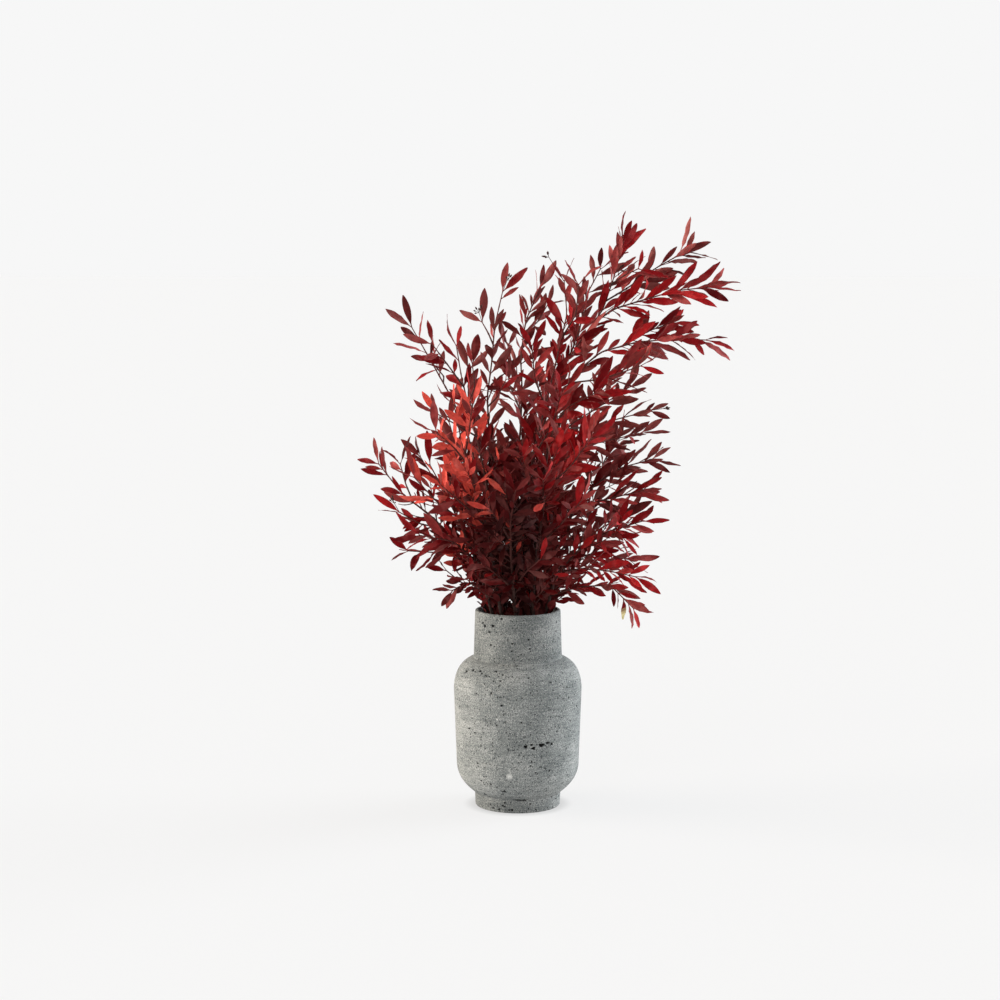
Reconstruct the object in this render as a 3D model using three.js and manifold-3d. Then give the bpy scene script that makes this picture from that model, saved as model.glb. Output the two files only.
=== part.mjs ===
// Vase of preserved, red-dyed parvifolia eucalyptus. Millimetres, +Z up.
// The origin is the centre of the vase's flat underside, and -Y is the side that the sprays were turned to.
// The vase is one cast piece. Each cut stem is one leafy piece: it stands on the vase's floor, leans out
// through the neck, and carries opposite pairs of leaves on its main axis and on its side sprays.
import * as THREE from "three";
import { mergeVertices } from "three/addons/utils/BufferGeometryUtils.js";
import Module from "manifold-3d";

const wasm = await Module();
wasm.setup();

// Vase: radii and heights of the cast outline
const VASE_HEIGHT = 237;
const FOOT_RADIUS = 51.2;
const FOOT_HEIGHT = 16.5;
const FOOT_EDGE = 2;
const BODY_LOW = [73.4, 53];
const BODY_WIDE = [76.6, 141];
const NECK_BASE = [52.8, 179.5];
const RIM_RADIUS = 51.1;
const RIM_EDGE = 2.3;
const MOUTH_RADIUS = 46.2;
const WALL = 6.2;
const FLOOR = 12;
const VASE_SIDES = 32;

// Stems: how they stand in the vase
const STANDING_GAP = 0.3;
const STEM_ROOT_RADIUS = 2.5;
const STEM_TIP_RADIUS = 1.0;
const SPRAY_ROOT_RADIUS = 1.35;
const SPRAY_TIP_RADIUS = 0.95;
const STEM_SIDES = 4;
const SPRAY_SIDES = 3;
const JOINT_LENGTH = 42;
const FLOOR_TURN = (100 * Math.PI) / 180;

// Where the listed routes line up: an eye in front of the vase, level with the upper sprays
const EYE_DISTANCE = 2600;
const EYE_HEIGHT = 660;

// Leaves
const SEED = 20731;
const LEAF_LENGTH = 33;
const LEAF_RIB = 1.25;
const PETIOLE_SHARE = 0.1;
const FULLNESS = 0.75;
const STALK_HALF_WIDTH = 0.7;
const STALK_THICKNESS = 1.05;
const PAIR_SPACING_LOW = 13;
const PAIR_SPACING_HIGH = 16.5;
const TRIES = 8;

// Each stem: name, place in the mouth [x, y], route above the mouth [x, depth, height], and side sprays
// as [height on the main axis where it leaves, route].
const STEMS = [
  ["left_low", [-37, -4],
    [[-48, -10, 275], [-66, -18, 308], [-92, -24, 340], [-118, -26, 358], [-142, -24, 380],
      [-156, -20, 399], [-166, -18, 412]],
    [
      [338, [[-112, -44, 338], [-130, -54, 345], [-142, -60, 354]]],
      [368, [[-136, 4, 394], [-140, 14, 412]]],
      [308, [[-88, -46, 304], [-110, -58, 309], [-132, -64, 307]]],
      [268, [[-64, -22, 267], [-76, -28, 275], [-86, -30, 284]]],
    ]],
  ["left_tall", [-32, 15],
    [[-37, 22, 290], [-43, 30, 350], [-50, 38, 410], [-62, 42, 455], [-79, 44, 490], [-99, 44, 527],
      [-115, 42, 553], [-126, 40, 574]],
    [
      [410, [[-72, 68, 432], [-88, 86, 452], [-98, 96, 470]]],
      [330, [[-68, 56, 356], [-92, 72, 382], [-108, 82, 404], [-116, 86, 420]]],
      [285, [[-62, 56, 300], [-86, 80, 316], [-108, 94, 326]]],
      [500, [[-86, 20, 512], [-94, 6, 524], [-104, -4, 534]]],
    ]],
  ["left_front", [-31, -19],
    [[-44, -34, 278], [-60, -52, 320], [-78, -66, 360], [-94, -74, 390], [-105, -78, 411]],
    [
      [305, [[-76, -70, 318], [-98, -84, 327], [-118, -90, 326]]],
      [350, [[-92, -88, 362], [-112, -100, 380], [-124, -106, 396]]],
      [262, [[-58, -44, 270], [-70, -54, 268], [-79, -58, 259]]],
    ]],
  ["front_left", [-20, -30],
    [[-30, -50, 300], [-42, -76, 352], [-56, -96, 402], [-67, -104, 438], [-74, -108, 462],
      [-76, -108, 482]],
    [
      [372, [[-54, -112, 388], [-60, -136, 402]]],
      [345, [[-68, -98, 366], [-82, -116, 380], [-92, -124, 386]]],
      [418, [[-84, -116, 440], [-98, -122, 450]]],
      [432, [[-56, -120, 462], [-54, -126, 484]]],
    ]],
  ["left_mid", [-18, -7],
    [[-24, -8, 300], [-34, -10, 370], [-46, -10, 430], [-58, -10, 478], [-64, -8, 503],
      [-69, -6, 522], [-72, -4, 538], [-73, -4, 552]],
    [
      [503, [[-78, -24, 522], [-92, -34, 540], [-102, -40, 554]]],
      [440, [[-70, -34, 456], [-88, -48, 468], [-98, -54, 472]]],
      [478, [[-52, -30, 498], [-50, -42, 516], [-54, -48, 530]]],
    ]],
  ["tall_left", [-14, 13],
    [[-18, 17, 300], [-24, 19, 370], [-32, 18, 430], [-37, 16, 480], [-33, 14, 515], [-29, 12, 550],
      [-27, 12, 580], [-22, 12, 603], [-18, 12, 616]],
    [
      [552, [[-37, 28, 570], [-43, 34, 580]]],
      [478, [[-22, -12, 494], [-14, -24, 512]]],
      [440, [[-54, 46, 470], [-60, 60, 500], [-58, 68, 524]]],
    ]],
  ["tall_middle", [4, 19],
    [[2, 25, 300], [0, 29, 370], [1, 31, 430], [5, 30, 480], [4, 28, 520], [3, 26, 550],
      [8, 24, 577], [15, 22, 597], [21, 20, 609], [26, 20, 620]],
    [
      [566, [[22, 42, 578], [30, 50, 588], [35, 56, 600]]],
      [470, [[-9, 58, 500], [-14, 74, 528], [-12, 82, 552]]],
      [400, [[18, 66, 432], [32, 92, 462], [40, 106, 490]]],
    ]],
  ["tall_right", [-3, -18],
    [[2, -26, 300], [10, -34, 370], [20, -38, 430], [32, -38, 480], [42, -34, 520], [50, -30, 555],
      [57, -28, 585], [59, -26, 610], [54, -24, 628]],
    [
      [560, [[68, -48, 588], [75, -58, 606], [71, -62, 624]]],
      [480, [[22, -60, 506], [14, -74, 530], [16, -82, 552]]],
      [430, [[38, -64, 452], [48, -84, 472], [50, -94, 492]]],
    ]],
  ["top_right", [18, 7],
    [[21, 8, 300], [23, 8, 370], [27, 6, 430], [35, 4, 480], [50, 2, 520], [70, 0, 552], [86, -2, 573],
      [98, -4, 590], [104, -6, 607], [112, -8, 630], [119, -8, 652], [123, -8, 674]],
    [
      [594, [[120, 12, 612], [145, 22, 632], [168, 28, 646], [186, 30, 655], [197, 30, 662]]],
      [578, [[114, -26, 595], [140, -36, 603], [165, -42, 610], [190, -44, 617], [212, -44, 621],
        [224, -42, 620]]],
      [548, [[76, 26, 588], [81, 34, 612], [89, 40, 632], [97, 44, 642]]],
      [625, [[128, -28, 636], [142, -34, 642]]],
      [520, [[64, -28, 546], [70, -38, 570], [79, -46, 594]]],
    ]],
  ["far_right", [16, -12],
    [[20, -20, 300], [27, -28, 370], [36, -36, 430], [48, -42, 480], [64, -46, 516], [88, -48, 538],
      [112, -48, 550], [138, -48, 555], [165, -46, 558], [190, -44, 560], [210, -42, 560],
      [222, -40, 558]],
    [
      [510, [[88, -68, 508], [112, -80, 517], [132, -86, 524], [146, -88, 528]]],
      [553, [[146, -24, 566], [166, -12, 572], [182, -4, 578]]],
      [460, [[58, -74, 478], [76, -94, 492], [92, -104, 496]]],
      [400, [[52, -64, 414], [72, -86, 430], [86, -98, 448]]],
    ]],
  ["centre", [0, 0],
    [[5, -2, 300], [13, -2, 365], [27, 2, 414], [50, 8, 448], [78, 14, 468], [104, 18, 484],
      [120, 20, 492], [131, 20, 502]],
    [
      [452, [[86, 40, 456], [115, 52, 464], [142, 58, 470], [157, 60, 475]]],
      [430, [[70, 40, 430], [102, 60, 438], [130, 70, 447], [146, 74, 448]]],
      [380, [[10, 12, 420], [6, 4, 450], [12, -8, 478]]],
    ]],
  ["right_high", [36, 7],
    [[42, 14, 283], [54, 24, 328], [72, 34, 364], [95, 42, 390], [120, 48, 406], [142, 50, 414],
      [160, 50, 417]],
    [
      [350, [[94, 12, 364], [122, 6, 376], [150, 4, 380]]],
      [306, [[80, 48, 324], [106, 62, 338], [126, 70, 350]]],
      [384, [[98, 68, 408], [112, 84, 428], [120, 92, 440]]],
    ]],
  ["right_low", [33, -15],
    [[43, -24, 272], [60, -34, 296], [84, -42, 318], [110, -48, 332], [135, -52, 340], [148, -54, 343]],
    [
      [256, [[62, -42, 262], [88, -56, 266], [112, -64, 266], [128, -68, 259], [136, -70, 247], [139, -70, 237]]],
      [278, [[80, -60, 286], [104, -74, 284], [128, -82, 278], [141, -86, 276]]],
      [304, [[96, -14, 306], [116, -2, 300], [134, 6, 296]]],
    ]],
  ["front_right", [18, -31],
    [[22, -48, 290], [27, -74, 335], [32, -96, 372], [36, -108, 400], [44, -116, 424], [52, -118, 444]],
    [
      [366, [[30, -116, 380], [30, -136, 393]]],
      [318, [[48, -92, 336], [64, -108, 352], [76, -116, 368]]],
      [392, [[62, -118, 408], [80, -126, 426], [88, -128, 444]]],
    ]],
  ["front_low", [-3, -36],
    [[-6, -56, 275], [-9, -82, 312], [-9, -104, 342], [-7, -118, 362], [-3, -126, 380]],
    [
      [268, [[-24, -76, 278], [-38, -94, 288]]],
      [276, [[14, -82, 288], [28, -100, 298]]],
      [330, [[-24, -112, 344], [-34, -124, 358]]],
    ]],
  ["back_right", [26, 26],
    [[33, 44, 300], [45, 66, 360], [59, 84, 410], [74, 96, 450], [90, 104, 480], [100, 108, 502]],
    [
      [330, [[68, 76, 344], [94, 96, 360], [116, 106, 370]]],
      [395, [[52, 106, 434], [46, 122, 468], [48, 128, 500]]],
      [290, [[56, 60, 286], [80, 76, 284], [102, 84, 290]]],
    ]],
  ["back", [6, 36],
    [[8, 58, 300], [10, 84, 360], [8, 104, 415], [4, 116, 460], [0, 122, 500], [-2, 124, 528]],
    [
      [330, [[28, 92, 348], [44, 116, 370], [52, 128, 394]]],
      [350, [[-12, 106, 380], [-28, 124, 406], [-36, 132, 430]]],
      [285, [[20, 78, 286], [30, 100, 292], [34, 116, 302]]],
    ]],
  ["back_left", [-15, 33],
    [[-22, 52, 290], [-36, 76, 335], [-52, 94, 375], [-66, 104, 410], [-76, 108, 440], [-82, 108, 462]],
    [
      [300, [[-50, 72, 308], [-74, 92, 316], [-92, 102, 316]]],
      [340, [[-34, 106, 368], [-30, 126, 398], [-24, 134, 428]]],
      [272, [[-34, 66, 272], [-44, 84, 276], [-50, 98, 284]]],
    ]],
];

// A number from 0 to 1 that depends only on whole-number keys, so that each leaf keeps its own draws.
function draw(...keys) {
  let mixed = SEED;
  for (const key of keys) {
    mixed = Math.imul(mixed ^ (key + 1), 2654435761) >>> 0;
    mixed = (mixed ^ (mixed >>> 15)) >>> 0;
  }
  mixed = Math.imul(mixed, 2246822519) >>> 0;
  return ((mixed ^ (mixed >>> 13)) >>> 0) / 4294967296;
}

function vector(list) {
  return new THREE.Vector3(...list);
}

// A listed point, moved along the line of sight of the eye to its real depth.
function seen([x, depth, height]) {
  const nearer = 1 + depth / EYE_DISTANCE;
  return new THREE.Vector3(x * nearer, depth, EYE_HEIGHT + (height - EYE_HEIGHT) * nearer);
}

// A smooth line through points from one index on, cut into even joints of about JOINT_LENGTH.
const CURVE_STEPS = 8;
function joints(points, first) {
  const fine = [];
  for (let i = first; i < points.length - 1; i += 1) {
    const [a, b, c, d] = [-1, 0, 1, 2].map((k) => {
      return points[Math.min(Math.max(i + k, 0), points.length - 1)];
    });
    for (let step = 0; step < CURVE_STEPS; step += 1) {
      const t = step / CURVE_STEPS;
      const bend = (p, q, r, s) => {
        const cubic = (3 * (q - r) + s - p) * t * t * t;
        return 0.5 * (2 * q + (r - p) * t + (2 * p - 5 * q + 4 * r - s) * t * t + cubic);
      };
      fine.push(new THREE.Vector3(
        bend(a.x, b.x, c.x, d.x), bend(a.y, b.y, c.y, d.y), bend(a.z, b.z, c.z, d.z)));
    }
  }
  fine.push(points[points.length - 1].clone());
  const along = [0];
  for (let i = 1; i < fine.length; i += 1) {
    along.push(along[i - 1] + fine[i].distanceTo(fine[i - 1]));
  }
  const total = along[along.length - 1];
  const count = Math.max(2, Math.round(total / JOINT_LENGTH));
  const even = [];
  for (let k = 0; k <= count; k += 1) {
    const target = (total * k) / count;
    let i = 1;
    while (i < along.length - 1 && along[i] < target) {
      i += 1;
    }
    const share = (target - along[i - 1]) / (along[i] - along[i - 1]);
    even.push(fine[i - 1].clone().lerp(fine[i], share));
  }
  return even;
}

// A spray leaves its main axis at a share of one joint, kept off the joint's ends.
const FORK_ENDS = 0.25;
function forkShare(points, k, height) {
  const share = (height - points[k].z) / (points[k + 1].z - points[k].z);
  return Math.min(Math.max(share, FORK_ENDS), 1 - FORK_ENDS);
}

function forkPoint(limb) {
  const { points } = limb.main;
  return points[limb.fork].clone().lerp(points[limb.fork + 1], limb.forkShare);
}

// Every limb of every stem: the main axis from the vase's floor, then its side sprays.
function plantLimbs() {
  const limbs = [];
  STEMS.forEach(([, mouth, route, sprays], stem) => {
    const turn = vector([...mouth, 0]).applyAxisAngle(new THREE.Vector3(0, 0, 1), FLOOR_TURN);
    const root = turn.setZ(FLOOR + STANDING_GAP);
    const line = [root, vector([...mouth, VASE_HEIGHT]), ...route.map(seen)];
    const points = [root.clone(), ...joints(line, 1)];
    const main = { stem, spray: 0, points, pinned: 2, leafFrom: 1 };
    limbs.push(main);
    sprays.forEach(([height, sprayRoute], index) => {
      let fork = 1;
      while (fork < points.length - 2 && points[fork + 1].z < height) {
        fork += 1;
      }
      const limb = { stem, spray: index + 1, pinned: 0, leafFrom: 0, main, fork };
      limb.forkShare = forkShare(points, fork, height);
      limb.points = joints([forkPoint(limb), ...sprayRoute.map(seen)], 0);
      limbs.push(limb);
    });
  });
  return limbs;
}

// The nearest points of two straight joints, as shares along each.
function nearest(p, pEnd, q, qEnd) {
  const u = pEnd.clone().sub(p);
  const v = qEnd.clone().sub(q);
  const w = p.clone().sub(q);
  const a = u.dot(u);
  const b = u.dot(v);
  const c = u.dot(w);
  const e = v.dot(v);
  const f = v.dot(w);
  const clamp = (value) => Math.min(Math.max(value, 0), 1);
  const across = a * e - b * b;
  let s = across > 1e-9 ? clamp((b * f - c * e) / across) : 0;
  let t = (b * s + f) / e;
  if (t < 0) {
    t = 0;
    s = clamp(-c / a);
  } else if (t > 1) {
    t = 1;
    s = clamp((b - c) / a);
  }
  return [s, t, w.add(u.multiplyScalar(s)).sub(v.multiplyScalar(t))];
}

// Limbs of different stems that come too close are bent apart a little at a time.
const LIMB_CLEARANCE = 7.5;
const BEND_PASSES = 40;
function bendClear(limbs) {
  for (let pass = 0; pass < BEND_PASSES; pass += 1) {
    const pushes = limbs.map((limb) => limb.points.map(() => new THREE.Vector3()));
    limbs.forEach((one, i) => limbs.slice(i + 1).forEach((other, offset) => {
      if (one.stem === other.stem) {
        return;
      }
      const j = i + 1 + offset;
      for (let m = one.leafFrom; m < one.points.length - 1; m += 1) {
        for (let n = other.leafFrom; n < other.points.length - 1; n += 1) {
          const [s, t, gap] = nearest(
            one.points[m], one.points[m + 1], other.points[n], other.points[n + 1]);
          const distance = gap.length();
          if (distance < LIMB_CLEARANCE) {
            const push = gap.multiplyScalar((LIMB_CLEARANCE - distance) / 2 / Math.max(distance, 0.01));
            pushes[i][m].addScaledVector(push, 1 - s);
            pushes[i][m + 1].addScaledVector(push, s);
            pushes[j][n].addScaledVector(push, t - 1);
            pushes[j][n + 1].addScaledVector(push, -t);
          }
        }
      }
    }));
    limbs.forEach((limb, i) => limb.points.forEach((point, k) => {
      if (k >= limb.pinned) {
        point.add(pushes[i][k]);
      }
    }));
    limbs.filter((limb) => limb.main).forEach((limb) => {
      limb.points[0].copy(forkPoint(limb));
    });
  }
}

// A limb's radius, from its root to its tip.
function limbRadius(limb, share) {
  const [root, tip] = limb.main
    ? [SPRAY_ROOT_RADIUS, SPRAY_TIP_RADIUS]
    : [STEM_ROOT_RADIUS, STEM_TIP_RADIUS];
  return root + (tip - root) * share;
}

// The point and direction at a length along a limb, counted from where its leaves may start.
function placeOn(limb, length) {
  let left = length;
  let k = limb.leafFrom;
  let step = limb.points[k].distanceTo(limb.points[k + 1]);
  while (left > step && k < limb.points.length - 2) {
    left -= step;
    k += 1;
    step = limb.points[k].distanceTo(limb.points[k + 1]);
  }
  const way = limb.points[k + 1].clone().sub(limb.points[k]).normalize();
  return [limb.points[k].clone().addScaledVector(way, left), way];
}

function leafyLength(limb) {
  let total = 0;
  for (let k = limb.leafFrom; k < limb.points.length - 1; k += 1) {
    total += limb.points[k].distanceTo(limb.points[k + 1]);
  }
  return total;
}

// Half the blade's width at a share of the leaf's length.
function halfWidth(leaf, share) {
  if (share <= PETIOLE_SHARE) {
    return STALK_HALF_WIDTH;
  }
  const u = Math.min((share - PETIOLE_SHARE) / (1 - PETIOLE_SHARE), 1);
  return Math.max(STALK_HALF_WIDTH * (1 - u), (leaf.width / 2) * Math.sin(Math.PI * u) ** FULLNESS);
}

// The midrib's point at a share of the leaf's length: it arches back and sickles a little.
function midrib(leaf, share) {
  return leaf.base.clone()
    .addScaledVector(leaf.way, leaf.length * share)
    .addScaledVector(leaf.face, -leaf.arch * leaf.length * share * share)
    .addScaledVector(leaf.side, leaf.sickle * leaf.length * share * share);
}

const TEST_SHARES = [0.16, 0.24, 0.32, 0.4, 0.48, 0.56, 0.64, 0.72, 0.8, 0.88, 0.96];
const TEST_ACROSS = [-1, -0.5, 0, 0.5, 1];
function testPoints(leaf) {
  return TEST_SHARES.flatMap((share) => {
    const middle = midrib(leaf, share);
    const half = halfWidth(leaf, share);
    return TEST_ACROSS.map((across) => middle.clone().addScaledVector(leaf.side, across * half));
  });
}

// Whether a point, with some room round it, is in a leaf's blade.
const END_ROOM = 0.03;
function inBlade(leaf, point, room, lift) {
  const share = point.clone().sub(leaf.base).dot(leaf.way) / leaf.length;
  if (share < END_ROOM || share > 1 + END_ROOM) {
    return false;
  }
  const off = point.clone().sub(midrib(leaf, Math.min(share, 1)));
  return Math.abs(off.dot(leaf.face)) < lift
    && Math.abs(off.dot(leaf.side)) < halfWidth(leaf, Math.min(share, 1)) + room;
}

// Leaves keep off the vase's neck and rim, other leaves, and every limb but their own.
const BLADE_LIFT = 1.9;
const BLADE_ROOM = 1.0;
const RIM_ROOM = 1.6;
const OWN_STEM_ROOM = 14;
const WOOD_LIFT = 1.4;
const NEAR_ENOUGH = 5;
function leafFits(leaf, placed, limbPoints) {
  const points = testPoints(leaf);
  const inRim = points.some((point) => {
    const r = Math.hypot(point.x, point.y);
    return point.z < VASE_HEIGHT + RIM_ROOM && r > MOUTH_RADIUS - RIM_ROOM && r < NECK_BASE[0] + RIM_ROOM;
  });
  if (inRim) {
    return false;
  }
  const centre = midrib(leaf, 0.5);
  for (const other of placed) {
    const reach = (leaf.length + other.length) / 2 + NEAR_ENOUGH;
    if (centre.distanceTo(midrib(other, 0.5)) > reach || other.pair === leaf.pair) {
      continue;
    }
    if (points.some((point) => inBlade(other, point, BLADE_ROOM, BLADE_LIFT))) {
      return false;
    }
    if (testPoints(other).some((point) => inBlade(leaf, point, BLADE_ROOM, BLADE_LIFT))) {
      return false;
    }
  }
  return !limbPoints.some(({ point, radius, limb }) => {
    if (limb === leaf.limb || point.distanceTo(centre) > leaf.length / 2 + NEAR_ENOUGH) {
      return false;
    }
    const sameStem = limb.stem === leaf.limb.stem;
    if (sameStem && point.distanceTo(leaf.base) < OWN_STEM_ROOM) {
      return false;
    }
    return inBlade(leaf, point, radius + BLADE_ROOM, radius + WOOD_LIFT);
  });
}

// Points every few millimetres along all limbs, for keeping leaves off them.
const WOOD_POINT_SPACING = 3.5;
function pointsOnLimbs(limbs) {
  return limbs.flatMap((limb) => {
    const length = leafyLength(limb);
    const count = Math.ceil(length / WOOD_POINT_SPACING);
    return Array.from({ length: count + 1 }, (_, k) => {
      const share = k / count;
      return { point: placeOn(limb, length * share)[0], radius: limbRadius(limb, share), limb };
    });
  });
}

// One leaf of a pair, drawn anew on each try. Each next pair is turned about the axis, and the blades mostly
// face out of the front or the back of the bunch.
const BACK_FROM = 12;
const FACING_SPREAD = 0.003;
const FACING_UP = 0.3;
const PAIR_TURN = 0.95;
const TURN_SPREAD = 0.9;
const RETRY_TURN = 0.5;
const RETRY_SHRINK = 0.04;
const LEAN = 0.72;
const TIP_LEAN = 0.42;
const LEAN_SPREAD = 0.6;
const FACE_SPREAD = 2.2;
const SIZE_LEAST = 0.72;
const SIZE_SPREAD = 0.58;
const SMALLER_LOW = 0.25;
const TIP_SIZE = 1.0;
const SLIM = 0.225;
const SLIM_SPREAD = 0.07;
const ROUNDER_LOW = 0.13;
const ARCH_LEAST = -0.06;
const ARCH_SPREAD = 0.24;
const SICKLE_SPREAD = 0.2;
function drawLeaf(limb, pair, side, attempt, [base, axis], low) {
  const key = (which) => draw(limb.stem, limb.spray, pair, side, attempt, which);
  const spread = (which, width) => (key(which) - 0.5) * width;
  const facing = new THREE.Vector3(base.x * FACING_SPREAD, base.y > BACK_FROM ? 1 : -1, FACING_UP);
  const quarter = [0, PAIR_TURN, 0, -PAIR_TURN][pair % 4];
  const swing = quarter + (draw(limb.stem, limb.spray, pair, 9) - 0.5) * TURN_SPREAD + side * Math.PI;
  const out = axis.clone().cross(facing).normalize()
    .applyAxisAngle(axis, swing + spread(0, RETRY_TURN * attempt));
  const lean = (pair === 0 ? TIP_LEAN : LEAN) + spread(1, LEAN_SPREAD);
  const way = axis.clone().multiplyScalar(Math.cos(lean)).addScaledVector(out, Math.sin(lean));
  const loose = new THREE.Vector3(spread(2, FACE_SPREAD), spread(3, FACE_SPREAD), spread(4, FACE_SPREAD));
  const wish = facing.clone().normalize().add(loose);
  const face = wish.addScaledVector(way, -wish.dot(way)).normalize();
  const size = (SIZE_LEAST + SIZE_SPREAD * key(5)) * (1 - SMALLER_LOW * low) * (pair === 0 ? TIP_SIZE : 1);
  const length = LEAF_LENGTH * size * (1 - RETRY_SHRINK * attempt);
  return {
    base: base.clone(), way, face, length, limb,
    side: way.clone().cross(face),
    pair: `${limb.stem}/${limb.spray}/${pair}`,
    width: length * (SLIM + SLIM_SPREAD * key(6) + ROUNDER_LOW * low),
    arch: ARCH_LEAST + ARCH_SPREAD * key(7),
    sickle: spread(8, SICKLE_SPREAD),
  };
}

// Where the opposite pairs sit on a limb, from its tip inwards. They stand closer near the mouth, where the
// leaves are small.
const BARE_ABOVE_MOUTH = 9;
const BARE_ABOVE_FORK = 14;
const TIP_SETBACK = 1.5;
const SPACING_LEAST = 0.9;
const SPACING_SPREAD = 0.2;
const MOUTH = new THREE.Vector3(0, 0, VASE_HEIGHT);
const SMALL_LEAVES_WITHIN = 150;
function pairsOn(limb) {
  const bare = limb.main ? BARE_ABOVE_FORK : BARE_ABOVE_MOUTH;
  const pairs = [];
  let along = leafyLength(limb) - TIP_SETBACK;
  for (let pair = 0; along > bare; pair += 1) {
    const place = placeOn(limb, along);
    const low = 1 - Math.min(place[0].distanceTo(MOUTH) / SMALL_LEAVES_WITHIN, 1);
    pairs.push({ pair, place, low });
    const spacing = PAIR_SPACING_HIGH + (PAIR_SPACING_LOW - PAIR_SPACING_HIGH) * low;
    along -= spacing * (SPACING_LEAST + SPACING_SPREAD * draw(limb.stem, limb.spray, pair, 10));
  }
  return pairs;
}

// On these solids every tip keeps its pair, each main axis keeps its lowest, and every sixth pair between
// them is kept.
const KEPT_EVERY = 6;
const FIRST_KEPT = 3;
function isKept(limb, { pair }, pairs) {
  const lowest = !limb.main && pair === pairs.length - 1;
  return pair === 0 || pair % KEPT_EVERY === FIRST_KEPT || lowest;
}

function growLeaves(limbs) {
  const placed = [];
  const limbPoints = pointsOnLimbs(limbs);
  limbs.forEach((limb) => pairsOn(limb).forEach((place, _, pairs) => {
    for (let side = 0; isKept(limb, place, pairs) && side < 2; side += 1) {
      for (let attempt = 0; attempt < TRIES; attempt += 1) {
        const leaf = drawLeaf(limb, place.pair, side, attempt, place.place, place.low);
        if (leafFits(leaf, placed, limbPoints)) {
          placed.push(leaf);
          break;
        }
      }
    }
  }));
  return placed;
}

// A closed solid from rings of points, each ring the same size, and single points for pointed ends.
function solidFromRings(rings) {
  const vertices = rings.flat();
  const faces = [];
  let start = 0;
  for (let k = 0; k < rings.length - 1; k += 1) {
    const here = rings[k].length;
    const next = rings[k + 1].length;
    const count = Math.max(here, next);
    for (let i = 0; i < count; i += 1) {
      const j = (i + 1) % count;
      const a = start + (here > 1 ? i : 0);
      const b = start + (here > 1 ? j : 0);
      const c = start + here + (next > 1 ? i : 0);
      const d = start + here + (next > 1 ? j : 0);
      if (here > 1) {
        faces.push(a, b, d);
      }
      if (next > 1) {
        faces.push(a, d, c);
      }
    }
    start += here;
  }
  const closeEnd = (ring, offset, forward) => {
    for (let i = 1; i < ring.length - 1; i += 1) {
      faces.push(offset, offset + (forward ? i : i + 1), offset + (forward ? i + 1 : i));
    }
  };
  closeEnd(rings[0], 0, false);
  closeEnd(rings[rings.length - 1], start, true);
  const positions = new Float32Array(vertices.flatMap((point) => [point.x, point.y, point.z]));
  const mesh = new wasm.Mesh({ numProp: 3, vertProperties: positions, triVerts: new Uint32Array(faces) });
  return new wasm.Manifold(mesh);
}

// A limb's wood: a slim tapering prism through its joints. A main stem is cut level at the vase's floor.
function limbSolid(limb) {
  const sides = limb.main ? SPRAY_SIDES : STEM_SIDES;
  const last = limb.points.length - 1;
  let across = new THREE.Vector3(1, 0, 0);
  const rings = limb.points.map((point, k) => {
    const before = limb.points[Math.max(k - 1, 0)];
    const after = limb.points[Math.min(k + 1, last)];
    const way = limb.main || k > 0 ? after.clone().sub(before).normalize() : new THREE.Vector3(0, 0, 1);
    across = across.clone().addScaledVector(way, -across.dot(way)).normalize();
    const up = way.clone().cross(across);
    const radius = limbRadius(limb, k / last);
    return Array.from({ length: sides }, (_, i) => {
      const angle = (2 * Math.PI * i) / sides;
      return point.clone()
        .addScaledVector(across, radius * Math.cos(angle))
        .addScaledVector(up, radius * Math.sin(angle));
    });
  });
  return solidFromRings(rings);
}

// A leaf: its stalk starts inside the wood, and its blade is flat above with a ribbed keel below.
const BLADE_SHARES = [PETIOLE_SHARE, 0.4, 0.7];
const STALK_SINK = 0.6;
function leafSolid(leaf) {
  const rings = BLADE_SHARES.map((share) => {
    const middle = midrib(leaf, share);
    const half = Math.max(halfWidth(leaf, share), STALK_HALF_WIDTH);
    const keel = share > PETIOLE_SHARE ? LEAF_RIB : STALK_THICKNESS;
    return [
      middle.clone().addScaledVector(leaf.side, half),
      middle.clone().addScaledVector(leaf.face, -keel),
      middle.clone().addScaledVector(leaf.side, -half),
    ];
  });
  const root = leaf.base.clone().addScaledVector(leaf.way, -STALK_SINK);
  return solidFromRings([[root], ...rings, [midrib(leaf, 1)]]);
}

function material(colour, roughness) {
  return new THREE.MeshStandardMaterial({ color: colour, roughness, metalness: 0 });
}

function namedMesh(name, geometry, finish) {
  const mesh = new THREE.Mesh(geometry, finish);
  mesh.name = name;
  return mesh;
}

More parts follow.
